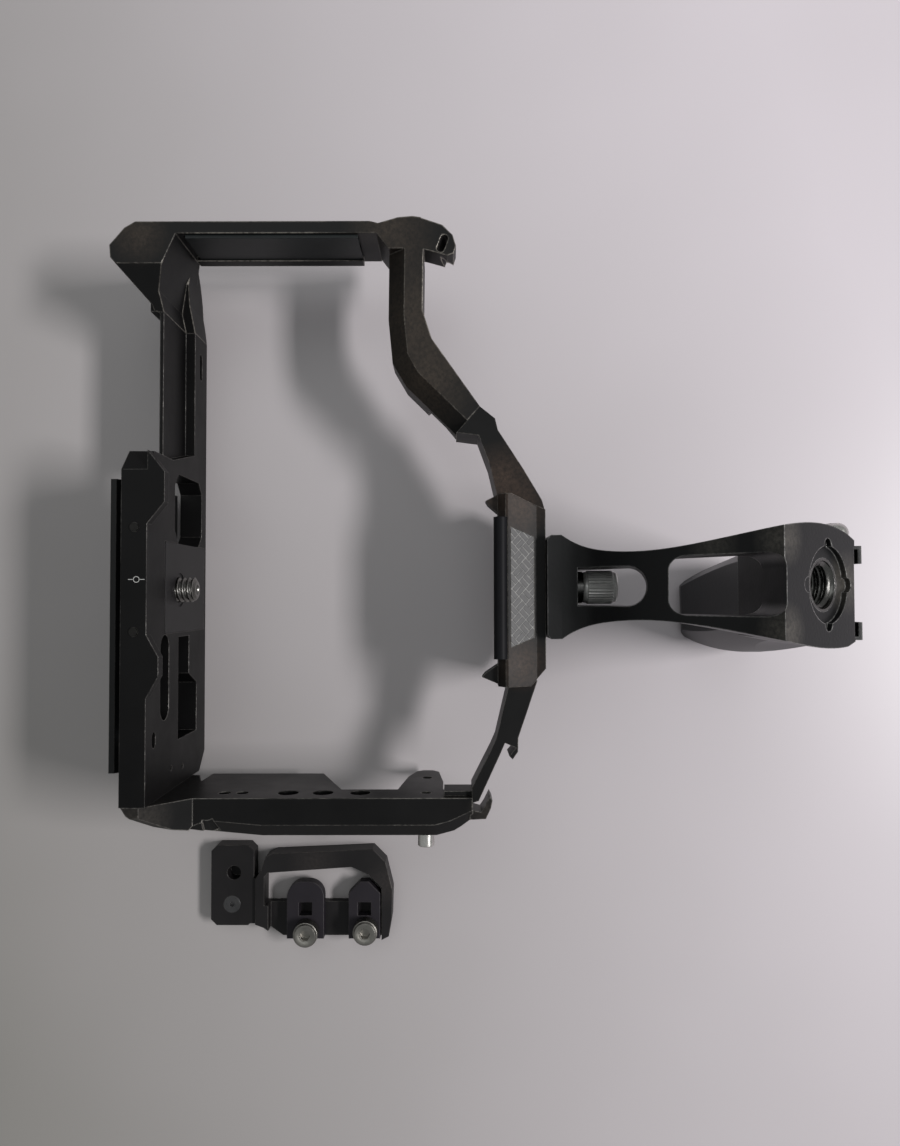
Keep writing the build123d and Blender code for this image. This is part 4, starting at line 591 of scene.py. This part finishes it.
# ---- captive thumbscrew of the handle -----------------------------------------------------------
# A steel drum, turned with fine straight ribs between plain collars and chromed. Its 1/4 inch
# stud holds the handle to the bridge, and a washer keeps it captive in the slot.
KNOB_PLACE = (HANDLE_X, 0, 8.0 * mm)
KNOB_LOW = 101.9 * mm
KNOB_HIGH = 110.3 * mm
KNOB_R = 4.1 * mm
KNOB_COLLAR = 3.8 * mm    # plain collars below and above the ribs
KNOB_CROWN = 3.85 * mm
KNOB_FACE = 3.4 * mm
KNOB_DIMPLE = 2.0 * mm
KNOB_RIBS = 32
KNOB_RIB = 0.17 * mm
KNOB_STEPS = 192
ribs = KNOB_RIB * (0.5 + 0.5 * np.cos(KNOB_RIBS * np.linspace(0, 2 * np.pi, KNOB_STEPS,
                                                              endpoint=False)))
drum = [(KNOB_LOW, 0, 0), (KNOB_LOW, KNOB_FACE, 0), (KNOB_LOW + 0.35 * mm, KNOB_COLLAR, 0),
        (KNOB_LOW + 1.0 * mm, KNOB_COLLAR, 0), (KNOB_LOW + 1.15 * mm, KNOB_R, 1),
        (KNOB_HIGH - 1.25 * mm, KNOB_R, 1), (KNOB_HIGH - 1.1 * mm, KNOB_CROWN, 0),
        (KNOB_HIGH - 0.4 * mm, KNOB_CROWN, 0), (KNOB_HIGH, KNOB_FACE, 0), (KNOB_HIGH, KNOB_DIMPLE, 0),
        (KNOB_HIGH - 1.6 * mm, KNOB_DIMPLE - 0.2 * mm, 0), (KNOB_HIGH - 1.6 * mm, 0, 0)]
radii = np.array([r - ribbed * ribs for h, r, ribbed in drum])
heights = [h for h, r, ribbed in drum]
knob_drum = surface(turned(KNOB_PLACE, (0, 1, 0), heights, radii, KNOB_STEPS))
STUD_LOW = 88.49 * mm
STUD_TIP = 2.5 * mm
STUD_THREAD_END = 91.7 * mm
STUD_SHOULDER = 92.25 * mm
STUD_NECK = 2.3 * mm
STUD_TOP = KNOB_LOW + 0.3 * mm
rows = np.linspace(STUD_LOW + 0.4 * mm, STUD_THREAD_END, 34)
threaded = thread_radii(rows, SCREW_MAJOR_R, SCREW_MINOR_R, SCREW_PITCH)
heights = np.r_[STUD_LOW, STUD_LOW, rows, STUD_SHOULDER, STUD_TOP, STUD_TOP]
radii = np.r_[ring_rows(0, STUD_TIP), threaded, ring_rows(STUD_NECK, STUD_NECK, 0)]
knob_stud = surface(turned(KNOB_PLACE, (0, 1, 0), heights, radii))
# Painted reflection: the chrome is given a pale colour and is only partly metal, so that the drum
# shows as bright as its polished chrome does.
dark_chrome = bright_metal("dark_chrome", (0.80, 0.79, 0.77, 1), 0.36, streak=(1, 0.05, 1),
                           metallic=0.35)
dress("handle_knob_ribbed", joined_mesh("handle_knob_ribbed", [knob_drum, knob_stud]), dark_chrome,
      "knob", "dark_chrome", "handle_knob")
washer_steel = bright_metal("washer_steel", (0.16, 0.158, 0.155, 1), 0.3)
paint(washer_steel, "knob_washer")

# ---- handle side screw --------------------------------------------------------------------------
# A steel button-head screw with a hexagon socket is driven into the grip-side flank of the head.
# It is cold-headed and plated bright.
FLANK_SCREW_PLACE = (-11.0 * mm, 150.6 * mm, 39.2 * mm)


def button_head(place, axis, radius, height, shank_radius, shank_length, hex_flats):
    """Domed screw: shank, flat underside, quarter-ellipse dome and a hexagon socket."""
    arc = np.linspace(0, np.pi / 2 * 0.82, 9)
    rim = 0.12
    rows = [(-shank_length, 0), (-shank_length, shank_radius), (0, shank_radius), (0, radius * 0.97),
            (height * rim, radius)]
    rows += [(height * (rim + (1 - rim) * math.sin(a)), radius * math.cos(a * 0.86)) for a in arc[1:]]
    return socketed(place, axis, rows, hex_flats, 0.62 * height)


flank_screw = button_head(FLANK_SCREW_PLACE, (-1, 0, 0), radius=2.9 * mm, height=2.55 * mm,
                          shank_radius=1.2 * mm, shank_length=4.8 * mm, hex_flats=2.5 * mm)
dress("handle_side_screw_turned", joined_mesh("handle_side_screw_turned", [flank_screw]),
      bright_steel, "handle", "bright_steel", "handle_side_screw")

# ---- cable clamp --------------------------------------------------------------------------------
# The loose clamp: a milled black ring with an ear, two sliding jaws and two knurled screws of
# plain light metal with hexagon sockets, which pinch a cable's plug between jaws and ring.
CLAMP_RUBS = [(75, 32, -17, 8), (80, 52, -17, 7)]
clamp_anodised = worn_metal("clamp_anodised", (0.0065, 0.0058, 0.0062, 1), (0.28, 0.26, 0.24, 1),
                            0.46, wear=0.6, rubs_and_sheen=CLAMP_RUBS, rub_and_sheen_colour=(0.026, 0.022, 0.021, 1),
                            sheen=0.20)
jaw_anodised = worn_metal("jaw_anodised", (0.0095, 0.0080, 0.0105, 1), (0.24, 0.22, 0.22, 1), 0.5,
                          wear=0.5, sheen=0.20)
paint(clamp_anodised, "clamp_frame")
paint(jaw_anodised, "clamp_jaw_lower", "clamp_jaw_upper")
dark_steel = bright_metal("dark_steel", (0.10, 0.098, 0.10, 1), 0.34)
paint(dark_steel, "clamp_fixing_screw")

THUMB_PLACES = {"lower": (92.9, 30.1), "upper": (92.4, 46.2)}
THUMB_R = 3.3 * mm
THUMB_LOW = -17.0 * mm
THUMB_HIGH = -12.8 * mm
THUMB_STEPS = 144
THUMB_RIBS = 12           # each spiral crosses the drum with twice as many grooves
THUMB_GROOVE = 0.22 * mm
THUMB_LEAN = 7 / (3.2 * mm)
THUMB_SOCKET = 2.5 * mm
THUMB_SOCKET_DEPTH = 1.9 * mm
THUMB_SHANK_R = 1.25 * mm
THUMB_SHANK_LOW = -22.6 * mm
light_metal = bright_metal("light_metal", (0.25, 0.24, 0.22, 1), 0.34)


def knurled_screw(x, y):
    """Knurled drum with a hexagon socket: two crossing spirals of ribs, r = R - depth * |sin| of
    each, between chamfered ends, over a plain shank."""
    turn = np.linspace(0, 2 * np.pi, THUMB_STEPS, endpoint=False)
    rows = np.linspace(THUMB_LOW + 0.45 * mm, THUMB_HIGH - 0.55 * mm, 26)
    lean_by = THUMB_LEAN * (rows - rows[0])[:, None]
    crossed = np.maximum(np.abs(np.sin(THUMB_RIBS * turn + lean_by)),
                         np.abs(np.sin(THUMB_RIBS * turn - lean_by)))
    knurl = THUMB_R - THUMB_GROOVE * (1 - crossed)
    socket = hex_radii(THUMB_SOCKET, THUMB_STEPS)
    lip = THUMB_HIGH - 0.1 * mm
    floor = THUMB_HIGH - THUMB_SOCKET_DEPTH
    below = [(THUMB_LOW, 0), (THUMB_LOW, 2.9 * mm), (THUMB_LOW + 0.4 * mm, 3.1 * mm)]
    above = [(THUMB_HIGH - 0.5 * mm, 3.1 * mm), (THUMB_HIGH, 2.75 * mm), (THUMB_HIGH, 1.9 * mm),
             (lip, 1.75 * mm)]
    heights = np.r_[[h for h, r in below], rows, [h for h, r in above], [lip, floor, floor - 0.1 * mm]]
    radii = np.r_[np.repeat([[r] for h, r in below], THUMB_STEPS, 1), knurl,
                  np.repeat([[r] for h, r in above], THUMB_STEPS, 1),
                  [socket, socket * 0.98, socket * 0]]
    place = (x * mm, y * mm, 0)
    head = turned(place, (0, 0, 1), heights, radii, THUMB_STEPS)
    shank_top = THUMB_LOW + 0.2 * mm
    shank = turned(place, (0, 0, 1), [THUMB_SHANK_LOW, THUMB_SHANK_LOW, shank_top, shank_top],
                   [0, THUMB_SHANK_R, THUMB_SHANK_R, 0], 32)
    return [surface(head), surface(shank)]


for which, (x, y) in THUMB_PLACES.items():
    node = f"clamp_thumbscrew_{which}"
    dress(node + "_knurled", joined_mesh(node + "_knurled", knurled_screw(x, y)), light_metal,
          f"thumbscrew_{which}", "light_metal", node)
